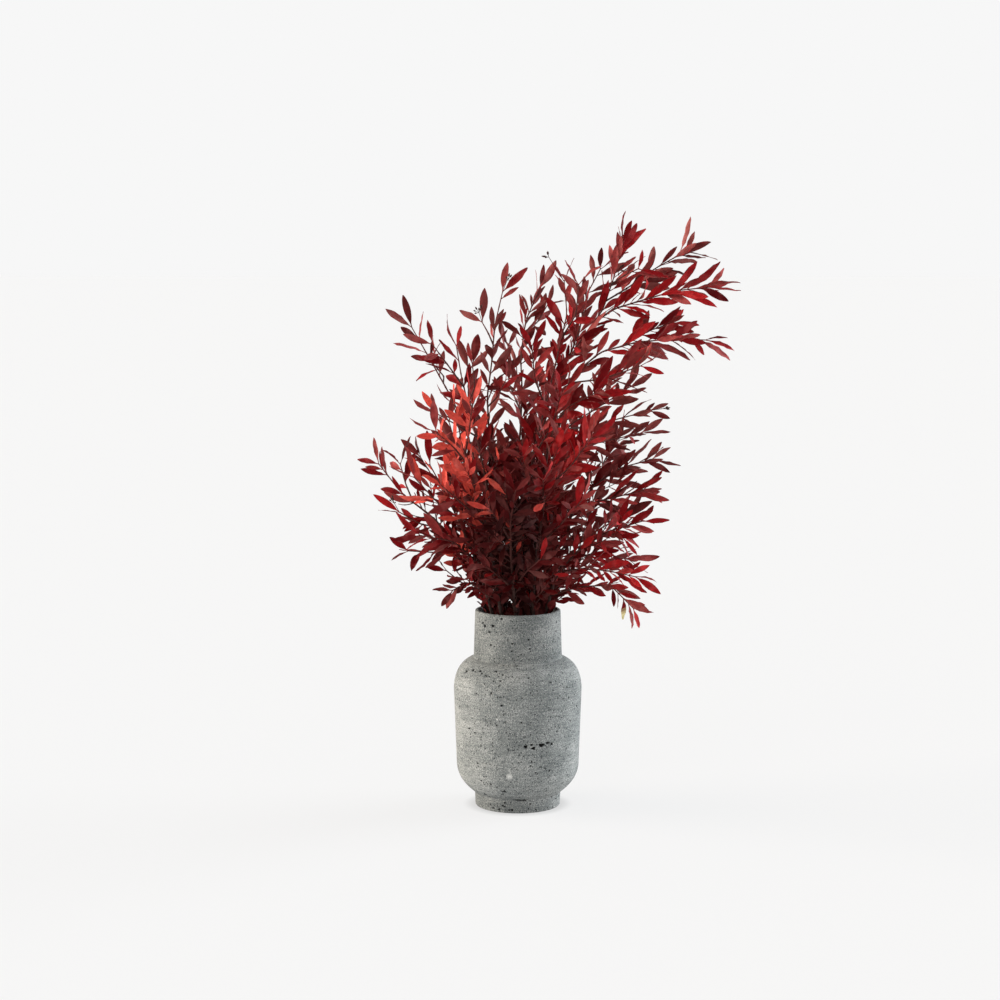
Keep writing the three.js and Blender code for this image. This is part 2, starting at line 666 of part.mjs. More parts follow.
// The vase's outline, from the centre of its underside, up the outside and down the inside.
function vaseOutline() {
  const at = (x, y) => new THREE.Vector2(x, y);
  const curve = (pieces, ...points) => new THREE.CubicBezierCurve(...points).getPoints(pieces).slice(1);
  const low = at(...BODY_LOW);
  const wide = at(...BODY_WIDE);
  const neck = at(...NECK_BASE);
  const innerNeck = at(MOUTH_RADIUS, NECK_BASE[1]);
  const innerWide = at(BODY_WIDE[0] - WALL, BODY_WIDE[1]);
  const innerLow = at(BODY_LOW[0] - WALL, BODY_LOW[1]);
  const rimSide = at(RIM_RADIUS, VASE_HEIGHT - RIM_EDGE);
  const rimTop = at((RIM_RADIUS + MOUTH_RADIUS) / 2, VASE_HEIGHT);
  const rimIn = at(MOUTH_RADIUS, VASE_HEIGHT - RIM_EDGE);
  return [
    at(0, 0),
    at(FOOT_RADIUS - FOOT_EDGE, 0),
    at(FOOT_RADIUS - 0.4, FOOT_EDGE * 0.7),
    at(FOOT_RADIUS + 0.4, FOOT_HEIGHT),
    ...curve(5, at(FOOT_RADIUS + 0.4, FOOT_HEIGHT), at(66, 27.5), at(73, 37), low),
    wide,
    ...curve(6, wide, at(76.6, 156), at(72, 173), at(neck.x + 1.6, neck.y - 0.3)),
    at(neck.x, neck.y + 1.6),
    ...[rimSide],
    ...curve(2, rimSide, at(RIM_RADIUS, VASE_HEIGHT - 0.6), at(RIM_RADIUS - 0.9, VASE_HEIGHT), rimTop),
    ...curve(2, rimTop, at(MOUTH_RADIUS + 0.9, VASE_HEIGHT), at(MOUTH_RADIUS, VASE_HEIGHT - 0.6), rimIn),
    innerNeck,
    ...curve(3, innerNeck, at(62, 173), at(innerWide.x, 158), innerWide),
    innerLow,
    ...curve(2, innerLow, at(66.8, 38), at(60, 26), at(44, FLOOR)),
    at(0, FLOOR),
  ];
}

function vase() {
  const geometry = new THREE.LatheGeometry(vaseOutline(), VASE_SIDES);
  geometry.deleteAttribute("normal");
  geometry.deleteAttribute("uv");
  geometry.rotateX(Math.PI / 2);
  return namedMesh("vase", mergeVertices(geometry, 1e-3), material(0x8d908e, 0.95));
}

function geometryOf(solid) {
  const { vertProperties, triVerts, numProp } = solid.getMesh();
  const positions = new Float32Array((vertProperties.length / numProp) * 3);
  for (let i = 0; i < positions.length / 3; i += 1) {
    positions.set(vertProperties.subarray(i * numProp, i * numProp + 3), i * 3);
  }
  const geometry = new THREE.BufferGeometry();
  geometry.setAttribute("position", new THREE.BufferAttribute(positions, 3));
  geometry.setIndex(new THREE.BufferAttribute(triVerts, 1));
  geometry.computeVertexNormals();
  return geometry;
}

// One leafy stem: its wood and all its leaves, joined into one body. Its outer skin alone is kept, which
// fills the tiny hollows that close between overlapping stalks.
function leafyStem(stem, limbs, leaves) {
  const wood = limbs.filter((limb) => limb.stem === stem).map(limbSolid);
  const blades = leaves.filter((leaf) => leaf.limb.stem === stem).map(leafSolid);
  const skins = wasm.Manifold.union([...wood, ...blades]).decompose();
  const [body] = skins.sort((one, other) => other.volume() - one.volume());
  return namedMesh(`stem_${STEMS[stem][0]}`, geometryOf(body), material(0x7a1219, 0.6));
}

const limbs = plantLimbs();
bendClear(limbs);
const leaves = growLeaves(limbs);
const arrangement = new THREE.Group();
arrangement.add(vase());
STEMS.forEach((_, stem) => arrangement.add(leafyStem(stem, limbs, leaves)));

export default arrangement;
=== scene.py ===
# A vase of preserved, red-dyed parvifolia eucalyptus, dressed over its solid model. Metres, +Z up.
import math

import bmesh
import bpy
import numpy as np
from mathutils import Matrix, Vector


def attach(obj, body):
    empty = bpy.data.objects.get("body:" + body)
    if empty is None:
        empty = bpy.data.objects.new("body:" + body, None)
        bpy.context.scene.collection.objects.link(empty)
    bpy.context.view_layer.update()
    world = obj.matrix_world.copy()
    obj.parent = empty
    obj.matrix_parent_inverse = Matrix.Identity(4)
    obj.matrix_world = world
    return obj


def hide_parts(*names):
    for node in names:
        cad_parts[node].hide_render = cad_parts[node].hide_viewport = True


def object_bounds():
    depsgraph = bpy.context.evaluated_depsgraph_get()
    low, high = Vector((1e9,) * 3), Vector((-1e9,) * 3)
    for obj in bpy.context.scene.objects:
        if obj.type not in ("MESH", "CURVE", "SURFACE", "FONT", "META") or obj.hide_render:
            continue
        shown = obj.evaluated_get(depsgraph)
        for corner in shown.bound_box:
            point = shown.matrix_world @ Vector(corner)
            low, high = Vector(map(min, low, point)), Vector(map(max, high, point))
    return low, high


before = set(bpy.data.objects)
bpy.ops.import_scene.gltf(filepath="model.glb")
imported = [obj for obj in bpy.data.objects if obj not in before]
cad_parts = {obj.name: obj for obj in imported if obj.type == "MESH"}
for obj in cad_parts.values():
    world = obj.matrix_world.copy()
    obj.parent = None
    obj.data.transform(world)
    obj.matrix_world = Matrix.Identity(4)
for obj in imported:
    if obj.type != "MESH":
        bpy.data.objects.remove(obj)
cad_low, cad_high = [list(corner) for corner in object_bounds()]

# The camera stands 2.6 m in front of the vase, level with the upper sprays, and looks down a little.
# Its long lens keeps the sides of the vase upright.
EYE_DISTANCE = 2.6
EYE_HEIGHT = 0.66
LENS_MM = 79.24
SENSOR_MM = 36.0
LOOK_DOWN = math.radians(6.405)
LOOK_LEFT = math.radians(0.470)
camera_data = bpy.data.cameras.new("camera")
camera_data.lens = LENS_MM
camera_data.sensor_width = SENSOR_MM
camera = bpy.data.objects.new("camera", camera_data)
camera.location = (0.0, -EYE_DISTANCE, EYE_HEIGHT)
camera.rotation_euler = (math.pi / 2 - LOOK_DOWN, 0.0, LOOK_LEFT)
bpy.context.collection.objects.link(camera)
bpy.context.scene.camera = camera

# The studio: an endless pale floor, an even pale room, a warm soft light from the left, a cooler one from
# the right, and a soft one from the front left above that the bright sprays catch.
def linear(hex_colour):
    """An sRGB hex colour as linear red, green, blue and alpha."""
    parts = [int(hex_colour[k:k + 2], 16) / 255 for k in (1, 3, 5)]
    return [part / 12.92 if part <= 0.04045 else ((part + 0.055) / 1.055) ** 2.4 for part in parts] + [1.0]


def add_node(tree, kind, settings=(), inputs=()):
    """Adds one node with its settings, and gives its inputs values or links from other nodes' sockets."""
    node = tree.nodes.new("ShaderNode" + kind)
    for name, value in dict(settings).items():
        setattr(node, name, value)
    for socket, value in dict(inputs).items():
        if isinstance(value, bpy.types.NodeSocket):
            tree.links.new(value, node.inputs[socket])
        else:
            node.inputs[socket].default_value = value
    return node


def new_material(name):
    """An empty node material with its output, as (material, tree, output node)."""
    material = bpy.data.materials.new(name)
    material.use_nodes = True
    tree = material.node_tree
    tree.nodes.clear()
    return material, tree, add_node(tree, "OutputMaterial")


ROOM = linear("#f7f7f7")
CEILING = 0.55
CEILING_FROM = 0.25
CEILING_TO = 0.9
FLOOR_HALF = 60.0
FLOOR_WHITENESS = 0.12
FLOOR_GLOW = 0.76
CONTACT_SHADE = 0.18
CONTACT_FROM = 0.050
CONTACT_TO = 0.068
floor_mesh = bpy.data.meshes.new("floor")
floor_mesh.from_pydata(
    [(-FLOOR_HALF, -FLOOR_HALF, 0), (FLOOR_HALF, -FLOOR_HALF, 0), (FLOOR_HALF, FLOOR_HALF, 0),
     (-FLOOR_HALF, FLOOR_HALF, 0)], [], [(0, 1, 2, 3)])
floor = bpy.data.objects.new("floor", floor_mesh)
floor_paint, tree, output = new_material("matt white studio paint")
# the floor's own glow stands in for light from all round, which the vase keeps off the floor by its foot
flat = add_node(tree, "VectorMath", {"operation": "MULTIPLY"}, {
    0: add_node(tree, "TexCoord").outputs["Object"], 1: (1, 1, 0)})
away = add_node(tree, "VectorMath", {"operation": "LENGTH"}, {0: flat.outputs[0]})
glow = add_node(tree, "MapRange", {"interpolation_type": "SMOOTHSTEP"}, {
    0: away.outputs["Value"], 1: CONTACT_FROM, 2: CONTACT_TO, 3: FLOOR_GLOW - CONTACT_SHADE, 4: FLOOR_GLOW})
shader = add_node(tree, "BsdfPrincipled", inputs={
    "Base Color": [FLOOR_WHITENESS] * 3 + [1], "Roughness": 1.0, "Specular IOR Level": 0.0,
    "Emission Color": [1, 1, 1, 1], "Emission Strength": glow.outputs[0]})
tree.links.new(shader.outputs[0], output.inputs[0])
floor_mesh.materials.append(floor_paint)
bpy.context.collection.objects.link(floor)

# the room's ceiling is darker than its walls
world = bpy.data.worlds.new("pale room")
world.use_nodes = True
tree = world.node_tree
height = add_node(tree, "SeparateXYZ", inputs={0: add_node(tree, "TexCoord").outputs["Generated"]})
strength = add_node(tree, "MapRange", inputs={
    0: height.outputs[2], 1: CEILING_FROM, 2: CEILING_TO, 3: 1.0, 4: CEILING})
tree.nodes["Background"].inputs["Color"].default_value = ROOM
tree.links.new(strength.outputs[0], tree.nodes["Background"].inputs["Strength"])
bpy.context.scene.world = world
bpy.context.scene.view_settings.view_transform = "Standard"

# name, colour, strength in W/m2, width of the source in degrees, turn and height in degrees (0 is the front)
LAMPS = [
    ("warm_left", "#fff3e3", 5.5, 50, -95, 10),
    ("cool_right", "#f3faff", 5.5, 50, 112, 10),
    ("front_left", "#fffaf2", 0.5, 40, -28, 30),
]
for name, colour, strength, width, turn, height in LAMPS:
    lamp_data = bpy.data.lights.new(name, "SUN")
    lamp_data.color = linear(colour)[:3]
    lamp_data.energy = strength
    lamp_data.angle = math.radians(width)
    lamp = bpy.data.objects.new(name, lamp_data)
    turn, height = math.radians(turn), math.radians(height)
    towards = Vector((
        -math.sin(turn) * math.cos(height), math.cos(turn) * math.cos(height), -math.sin(height)))
    lamp.rotation_euler = towards.to_track_quat("-Z", "Y").to_euler()
    bpy.context.collection.objects.link(lamp)

# The vase: cast in fibre cement, a mix of cement, fine sand and fibre, and turned smooth while green.
# Turning leaves faint level lines. Air in the mix leaves pores, and open voids where bubbles met the mould.
VASE_HEIGHT = 0.237
FOOT_RADIUS = 0.0512
FOOT_HEIGHT = 0.0165
FOOT_EDGE = 0.002
BODY_LOW = (0.0734, 0.053)
BODY_WIDE = (0.0766, 0.141)
NECK_BASE = (0.0528, 0.1795)
RIM_RADIUS = 0.0511
RIM_EDGE = 0.0023
MOUTH_RADIUS = 0.0462
WALL = 0.0062
FLOOR = 0.012
# Where the curves of the profile are pulled to, as (radius, height) or as distances from their ends
FOOT_TAPER = 0.0003
FOOT_FLARE = 0.0004
FOOT_PULL = (0.0007, 0.0006)
BODY_PULLS = ((0.066, 0.0275), (0.073, 0.037))
SHOULDER_PULLS = ((0.0766, 0.156), (0.072, 0.173))
CREASE = 0.0016
CREASE_DROP = 0.0003
CREASE_PULL = 0.0004
RIM_PULL = (0.0009, 0.0006)
INNER_SHOULDER_PULL = (0.062, 0.173)
INNER_SHOULDER_LOW = 0.158
INNER_BODY_PULLS = ((0.0668, 0.038), (0.060, 0.026))
INNER_FLOOR_RADIUS = 0.044
# Spacing of the mesh: columns round the vase, and steps along the profile
VASE_COLUMNS = 240
OUTSIDE_STEP = 0.0015
INSIDE_STEP = 0.008
FOOT_STEP = 0.0006
CREASE_STEP = 0.0007
RIM_STEP = 0.0008
# The larger voids at the front: turn in degrees, height, and how wide, tall and deep each is
VOIDS = [
    (7.2, 0.0858, 0.0034, 0.0028, 0.0018), (12.7, 0.0879, 0.0024, 0.0018, 0.0012),
    (14.5, 0.0836, 0.0036, 0.0026, 0.0018), (22.1, 0.0866, 0.0054, 0.0030, 0.0024),
    (28.0, 0.0888, 0.0036, 0.0018, 0.0014), (32.3, 0.0870, 0.0020, 0.0022, 0.0012),
    (12.8, 0.0675, 0.0015, 0.0015, 0.0010), (11.9, 0.0627, 0.0016, 0.0014, 0.0010),
    (16.8, 0.0539, 0.0014, 0.0014, 0.0009), (-35.0, 0.2236, 0.0030, 0.0022, 0.0014),
    (-49.3, 0.2221, 0.0026, 0.0028, 0.0014), (-53.8, 0.2252, 0.0022, 0.0016, 0.0012),
    (-21.7, 0.2329, 0.0022, 0.0014, 0.0010), (-37.6, 0.2008, 0.0018, 0.0018, 0.0010),
    (15.5, 0.1977, 0.0016, 0.0014, 0.0009), (-61.0, 0.1676, 0.0034, 0.0024, 0.0016),
    (-51.6, 0.1710, 0.0026, 0.0026, 0.0014), (-41.5, 0.1714, 0.0030, 0.0018, 0.0014),
    (-23.1, 0.1728, 0.0026, 0.0016, 0.0012), (-14.8, 0.1698, 0.0018, 0.0016, 0.0010),
    (-17.6, 0.1789, 0.0028, 0.0014, 0.0010), (-1.9, 0.1785, 0.0034, 0.0012, 0.0010),
    (-14.1, 0.0298, 0.0036, 0.0028, 0.0016), (-38.5, 0.0178, 0.0026, 0.0018, 0.0012),
    (-41.9, 0.0213, 0.0034, 0.0026, 0.0016), (6.7, 0.0166, 0.0140, 0.0018, 0.0014),
    (-19.9, 0.0088, 0.0020, 0.0016, 0.0010), (-17.1, 0.0126, 0.0018, 0.0014, 0.0010),
    (-25.5, 0.0040, 0.0024, 0.0014, 0.0010), (-11.7, 0.0040, 0.0016, 0.0014, 0.0008),
    (-7.7, 0.0042, 0.0022, 0.0014, 0.0010),
]
# Smaller voids all round: just over half lie anywhere, and the others in bands where the air gathered
SCATTERED_VOIDS = 150
VOID_SEED = 41
ANYWHERE = 0.55
VOID_LOWEST = 0.004
VOID_HIGHEST = 0.232
VOID_BANDS = [0.215, 0.171, 0.022, 0.010]
BAND_SPREAD = 0.006
RIM_VOID_HIGHEST = 0.2335
SMALLEST_VOID = 0.0009
VOID_SPREAD = 0.0018
FEW_LARGE = 2.5
VOID_WIDEST = 1.6
VOID_DEPTH = 0.6
FRONT_TURN = 70
FRONT_LARGEST = 0.0014
# The shape of every void: a ragged bowl, a little wider than its listed size
VOID_SCALE = 1.35
VOID_MARGIN = 0.0014
VOID_REFINED = 3
VOID_BOWL = 1.15
VOID_FULLNESS = 0.6
# its raggedness: share, lobes, and the axis and factor that turn the lobes by the void's place
VOID_RAGGED = ((0.16, 3, 2, 9000), (0.1, 5, 0, 7000))


def bezier(start, start_pull, end_pull, end, step):
    """Points along a cubic curve after its start, about one step apart."""
    corners = np.array([start, start_pull, end_pull, end])
    rough = np.linalg.norm(np.diff(corners, axis=0), axis=1).sum()
    share = np.linspace(0, 1, max(3, round(rough / step)) + 1)[1:, None]
    weights = ((1 - share) ** 3, 3 * share * (1 - share) ** 2, 3 * share ** 2 * (1 - share), share ** 3)
    return [tuple(point) for point in sum(w * c for w, c in zip(weights, corners))]


def straight(start, end, step):
    """Points along a straight line after its start, about one step apart."""
    length = math.dist(start, end)
    count = max(1, round(length / step))
    return [tuple(np.array(start) + (np.array(end) - start) * (k + 1) / count) for k in range(count)]


def vase_outline():
    """(radius, height) from the middle of the underside, up the outside and down the inside to the floor."""
    foot_low = (FOOT_RADIUS - FOOT_EDGE, 0.0)
    foot_side = (FOOT_RADIUS - FOOT_TAPER, FOOT_EDGE)
    foot_top = (FOOT_RADIUS + FOOT_FLARE, FOOT_HEIGHT)
    crease = (NECK_BASE[0] + CREASE, NECK_BASE[1] - CREASE_DROP)
    neck = (NECK_BASE[0], NECK_BASE[1] + CREASE)
    rim_side = (RIM_RADIUS, VASE_HEIGHT - RIM_EDGE)
    rim_top = ((RIM_RADIUS + MOUTH_RADIUS) / 2, VASE_HEIGHT)
    rim_in = (MOUTH_RADIUS, VASE_HEIGHT - RIM_EDGE)
    inner_neck = (MOUTH_RADIUS, NECK_BASE[1])
    inner_wide = (BODY_WIDE[0] - WALL, BODY_WIDE[1])
    inner_low = (BODY_LOW[0] - WALL, BODY_LOW[1])
    return [
        (0.0, 0.0),
        *straight((0.0, 0.0), foot_low, INSIDE_STEP),
        *bezier(foot_low, (FOOT_RADIUS - FOOT_PULL[0], 0.0), (FOOT_RADIUS - FOOT_TAPER, FOOT_PULL[1]),
                foot_side, FOOT_STEP),
        *straight(foot_side, foot_top, OUTSIDE_STEP),
        *bezier(foot_top, *BODY_PULLS, BODY_LOW, OUTSIDE_STEP),
        *straight(BODY_LOW, BODY_WIDE, OUTSIDE_STEP),
        *bezier(BODY_WIDE, *SHOULDER_PULLS, crease, OUTSIDE_STEP),
        *bezier(crease, (NECK_BASE[0] + CREASE_PULL, NECK_BASE[1]),
                (NECK_BASE[0], NECK_BASE[1] + CREASE_PULL), neck, CREASE_STEP),
        *straight(neck, rim_side, OUTSIDE_STEP),
        *bezier(rim_side, (RIM_RADIUS, VASE_HEIGHT - RIM_PULL[1]),
                (RIM_RADIUS - RIM_PULL[0], VASE_HEIGHT), rim_top, RIM_STEP),
        *bezier(rim_top, (MOUTH_RADIUS + RIM_PULL[0], VASE_HEIGHT),
                (MOUTH_RADIUS, VASE_HEIGHT - RIM_PULL[1]), rim_in, RIM_STEP),
        *straight(rim_in, inner_neck, INSIDE_STEP),
        *bezier(inner_neck, INNER_SHOULDER_PULL, (inner_wide[0], INNER_SHOULDER_LOW), inner_wide,
                INSIDE_STEP),
        *straight(inner_wide, inner_low, 2 * INSIDE_STEP),
        *bezier(inner_low, *INNER_BODY_PULLS, (INNER_FLOOR_RADIUS, FLOOR), INSIDE_STEP),
        (0.0, FLOOR),
    ]


def outside_at(outline, height):
    """Radius and upward slope direction of the vase's outside at a height."""
    outside = [p for p in outline[1:] if p[1] <= VASE_HEIGHT]
    outside = outside[:outside.index(max(outside, key=lambda p: p[1])) + 1]
    for low, high in zip(outside, outside[1:]):
        if low[1] <= height <= high[1] and high[1] > low[1]:
            share = (height - low[1]) / (high[1] - low[1])
            way = np.array([high[0] - low[0], high[1] - low[1]])
            return low[0] + (high[0] - low[0]) * share, way / np.linalg.norm(way)
    return outside[-1][0], np.array([0.0, 1.0])


def turned_mesh(outline, columns):
    """A closed mesh turned about Z from an outline that starts and ends on the axis."""
    ring = outline[1:-1]
    angles = np.linspace(0, 2 * math.pi, columns, endpoint=False)
    radius, height = np.array(ring).T
    points = np.stack([np.outer(radius, np.cos(angles)), np.outer(radius, np.sin(angles)),
                       np.repeat(height[:, None], columns, 1)], axis=-1).reshape(-1, 3)
    vertices = np.vstack([points, [[0, 0, outline[0][1]]], [[0, 0, outline[-1][1]]]])
    rows = len(ring)
    below, above = len(points), len(points) + 1
    faces = []
    for row in range(rows - 1):
        start = row * columns
        for k in range(columns):
            j = (k + 1) % columns
            faces.append((start + k, start + j, start + columns + j, start + columns + k))
    last = (rows - 1) * columns
    faces += [(below, (k + 1) % columns, k) for k in range(columns)]
    faces += [(above, last + k, last + (k + 1) % columns) for k in range(columns)]
    return vertices, faces


def set_attribute(mesh, name, kind, domain, values):
    """Writes one named attribute of a mesh from an array."""
    field = {"FLOAT": "value", "FLOAT_VECTOR": "vector", "FLOAT_COLOR": "color", "BOOLEAN": "value"}[kind]
    mesh.attributes.new(name, kind, domain).data.foreach_set(field, np.asarray(values).ravel())


def open_voids(mesh, outline):
    """Refines the mesh round each void and presses the void into the wall."""
    dice = np.random.default_rng(VOID_SEED)
    voids = list(VOIDS)
    for _ in range(SCATTERED_VOIDS):
        turn = dice.uniform(0, 360)
        band = dice.random()
        if band < ANYWHERE:
            height = dice.uniform(VOID_LOWEST, VOID_HIGHEST)
        else:
            height = dice.choice(VOID_BANDS) + dice.normal(0, BAND_SPREAD)
        size = SMALLEST_VOID + VOID_SPREAD * dice.random() ** FEW_LARGE
        if -FRONT_TURN < (turn + 180) % 360 - 180 < FRONT_TURN:
            size = min(size, FRONT_LARGEST)
        height = float(np.clip(height, VOID_LOWEST, RIM_VOID_HIGHEST))
        voids.append((turn, height, size * dice.uniform(1, VOID_WIDEST), size, size * VOID_DEPTH))
    centres, across, along, normals = [], [], [], []
    for turn, height, *_ in voids:
        radius, (slope_r, slope_z) = outside_at(outline, height)
        turn = math.radians(turn) - math.pi / 2
        outward = np.array([math.cos(turn), math.sin(turn), 0.0])
        centres.append(outward * radius + [0, 0, height])
        across.append([-math.sin(turn), math.cos(turn), 0.0])
        along.append(outward * slope_r + [0, 0, slope_z])
        normals.append(outward * slope_z - [0, 0, slope_r])
    sizes = np.array([void[2:] for void in voids]) * VOID_SCALE
    shell = bmesh.new()
    shell.from_mesh(mesh)
    middles = np.array([face.calc_center_median() for face in shell.faces])
    near = np.zeros(len(middles), bool)
    for centre, size in zip(centres, sizes):
        near |= np.linalg.norm(middles - centre, axis=1) < max(size[:2]) / 2 + VOID_MARGIN
    shell.faces.ensure_lookup_table()
    edges = {edge for k in np.flatnonzero(near) for edge in shell.faces[k].edges}
    bmesh.ops.subdivide_edges(shell, edges=list(edges), cuts=VOID_REFINED, use_grid_fill=True)
    shell.to_mesh(mesh)
    shell.free()
    places = np.empty(len(mesh.vertices) * 3)
    mesh.vertices.foreach_get("co", places)
    places = places.reshape(-1, 3)
    pressed = places.copy()
    void_painted_shade = np.zeros(len(places))
    for centre, side, up, normal, (width, tall, depth) in zip(centres, across, along, normals, sizes):
        offset = places - centre
        close = np.flatnonzero(np.linalg.norm(offset, axis=1) < max(width, tall))
        a, b = offset[close] @ np.array(side), offset[close] @ np.array(up)
        bearing = np.arctan2(b, a)
        ragged = 1 + sum(share * np.sin(lobes * bearing + centre[axis] * shift)
                         for share, lobes, axis, shift in VOID_RAGGED)
        reach = np.hypot(a / (width / 2), b / (tall / 2)) / ragged
        press = depth * np.clip(VOID_BOWL - reach ** 2, 0, 1) ** VOID_FULLNESS
        pressed[close] -= press[:, None] * np.array(normal)
        void_painted_shade[close] = np.maximum(void_painted_shade[close], np.clip(press / depth * 1.5, 0, 1))
    mesh.vertices.foreach_set("co", pressed.ravel())
    # each point's share of its void's depth, kept for the painted shade inside the voids
    set_attribute(mesh, "void_painted_shade", "FLOAT", "POINT", void_painted_shade)


def cast_stone():
    """Raw turned fibre cement: matt and grey, with dark pores, pale sand and faint turning lines."""
    material, tree, output = new_material("raw turned fibre cement")
    place = add_node(tree, "TexCoord").outputs["Object"]
    # the casting's layers 5 to 10 mm apart, clouds 40 mm wide, sand grains of 1 mm, drawn coarser than they
    # are so that they show, and turning lines 1 to 2 mm apart, level round the vase: cells per metre in x, y
    # and z, detail, roughness, share
    patterns = {
        "layers": ((9, 9, 150), 2.0, 0.5, 0.10), "clouds": ((26, 26, 26), 3.0, 0.5, 0.32),
        "grains": ((900, 900, 900), 2.0, 0.7, 1.02), "lines": ((40, 40, 640), 3.0, 0.65, 0.30)}
    tone = 0.0
    for name, (cells, detail, roughness, share) in patterns.items():
        scaled = add_node(tree, "Mapping", inputs={"Vector": place, "Scale": cells})
        pattern = add_node(tree, "TexNoise", inputs={
            "Vector": scaled.outputs[0], "Scale": 1.0, "Detail": detail, "Roughness": roughness})
        tone = add_node(tree, "Math", {"operation": "MULTIPLY_ADD"}, {
            0: pattern.outputs["Fac"], 1: share, 2: tone}).outputs[0]
        if name == "grains":
            grains = pattern.outputs["Fac"]
    greys = add_node(tree, "ValToRGB", inputs={0: tone})
    ramp = greys.color_ramp
    ramp.elements[0].position = 0.58
    ramp.elements[0].color = linear("#464a4b")
    ramp.elements[1].position = 1.0
    ramp.elements[1].color = linear("#a4a5a2")
    middle = ramp.elements.new(0.87)
    middle.color = linear("#747877")
    # painted shade: the neck, shaded by the leaves, and the foot, in its own shade, are painted darker than
    # the body
    height = add_node(tree, "SeparateXYZ", inputs={0: place}).outputs[2]
    neck_painted_shade = add_node(tree, "MapRange", {"interpolation_type": "SMOOTHSTEP"}, {
        0: height, 1: 0.172, 2: 0.186, 3: 1.0, 4: 0.80})
    foot_painted_shade = add_node(tree, "MapRange", {"interpolation_type": "SMOOTHSTEP"}, {
        0: height, 1: 0.014, 2: 0.026, 3: 0.76, 4: 1.0})
    tint = add_node(tree, "Math", {"operation": "MULTIPLY"}, {
        0: neck_painted_shade.outputs[0], 1: foot_painted_shade.outputs[0]})
    tinted = add_node(tree, "VectorMath", {"operation": "SCALE"}, {0: greys.outputs[0]})
    tree.links.new(tint.outputs[0], tinted.inputs["Scale"])
    # dark pores of 1 mm, wider pits, and pale sand: cells per metre, share left out, width in cells,
    # strength, colour
    spots = {"pores": (380.0, 0.40, 0.36, 0.85, "#1a1c1c"), "pits": (130.0, 0.72, 0.20, 0.9, "#191a1a"),
             "sand": (520.0, 0.80, 0.28, 0.5, "#d4d4d0")}
    shade = tinted.outputs[0]
    marks = {}
    for name, (scale, share, size, strength, colour) in spots.items():
        cells = add_node(tree, "TexVoronoi", inputs={"Vector": place, "Scale": scale})
        pick = add_node(tree, "SeparateColor", inputs={0: cells.outputs["Color"]})
        chosen = add_node(tree, "Math", {"operation": "GREATER_THAN"}, {0: pick.outputs[0], 1: share})
        width = add_node(tree, "Math", {"operation": "MULTIPLY_ADD"}, {
            0: pick.outputs[1], 1: size, 2: size * 0.35}).outputs[0]
        core = add_node(tree, "Math", {"operation": "MULTIPLY"}, {0: width, 1: 0.5})
        edge = add_node(tree, "MapRange", {"interpolation_type": "SMOOTHSTEP"}, {
            0: cells.outputs["Distance"], 1: width, 2: core.outputs[0], 3: 0.0, 4: strength})
        marks[name] = add_node(tree, "Math", {"operation": "MULTIPLY"}, {
            0: edge.outputs[0], 1: chosen.outputs[0]}).outputs[0]
        shade = add_node(tree, "Mix", {"data_type": "RGBA"}, {
            "Factor": marks[name], "A": shade, "B": linear(colour)}).outputs["Result"]
    # small rubbed patches, chalky white: turn in degrees, height, radius
    for turn, patch_height, radius in ((-7.7, 0.050, 0.0052), (-18.6, 0.118, 0.0020)):
        turn = math.radians(turn) - math.pi / 2
        wall = outside_at(outline, patch_height)[0]
        off = add_node(tree, "VectorMath", {"operation": "DISTANCE"}, {
            0: place, 1: (wall * math.cos(turn), wall * math.sin(turn), patch_height)})
        chalk = add_node(tree, "MapRange", {"interpolation_type": "SMOOTHSTEP"}, {
            0: off.outputs["Value"], 1: radius * 0.2, 2: radius, 3: 1.15, 4: 0.0})
        chalk = add_node(tree, "Math", {"operation": "MULTIPLY", "use_clamp": True}, {
            0: chalk.outputs[0], 1: grains})
        shade = add_node(tree, "Mix", {"data_type": "RGBA"}, {
            "Factor": chalk.outputs[0], "A": shade, "B": linear("#dcdcd8")}).outputs["Result"]
    # painted shade: the insides of the voids are painted near black, as deep holes in shadow look
    void_painted_shade = add_node(tree, "Attribute", {"attribute_name": "void_painted_shade"})
    shade = add_node(tree, "Mix", {"data_type": "RGBA"}, {
        "Factor": void_painted_shade.outputs["Fac"], "A": shade, "B": linear("#0d0e0e")}).outputs["Result"]
    relief = tone
    for name, depth in (("pits", -2.0), ("pores", -1.2)):
        relief = add_node(tree, "Math", {"operation": "MULTIPLY_ADD"}, {
            0: marks[name], 1: depth, 2: relief}).outputs[0]
    bump = add_node(tree, "Bump", inputs={"Strength": 0.5, "Distance": 0.0006, "Height": relief})
    shader = add_node(tree, "BsdfPrincipled", inputs={
        "Base Color": shade, "Roughness": 0.92, "Specular IOR Level": 0.25, "Normal": bump.outputs[0]})
    tree.links.new(shader.outputs[0], output.inputs[0])
    return material


outline = vase_outline()
vase_mesh = bpy.data.meshes.new("vase_cast")
vertices, faces = turned_mesh(outline, VASE_COLUMNS)
vase_mesh.from_pydata(vertices.tolist(), [], faces)
open_voids(vase_mesh, outline)
vase_mesh.shade_smooth()
vase_mesh.materials.append(cast_stone())
vase = bpy.data.objects.new("vase_cast", vase_mesh)
bpy.context.collection.objects.link(vase)
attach(vase, "root")
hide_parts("vase")

# The stems: cut eucalyptus, thin and woody, that stand on the vase's floor and lean out through its neck.
# Glycerine and red dye drawn up through the cut have left the bark dark brown, and reddish towards the tips.
STANDING_GAP = 0.0003
STEM_ROOT_RADIUS = 0.0025
STEM_TIP_RADIUS = 0.0010
SPRAY_ROOT_RADIUS = 0.00135
SPRAY_TIP_RADIUS = 0.00095
JOINT_LENGTH = 0.042
FLOOR_TURN = math.radians(100)
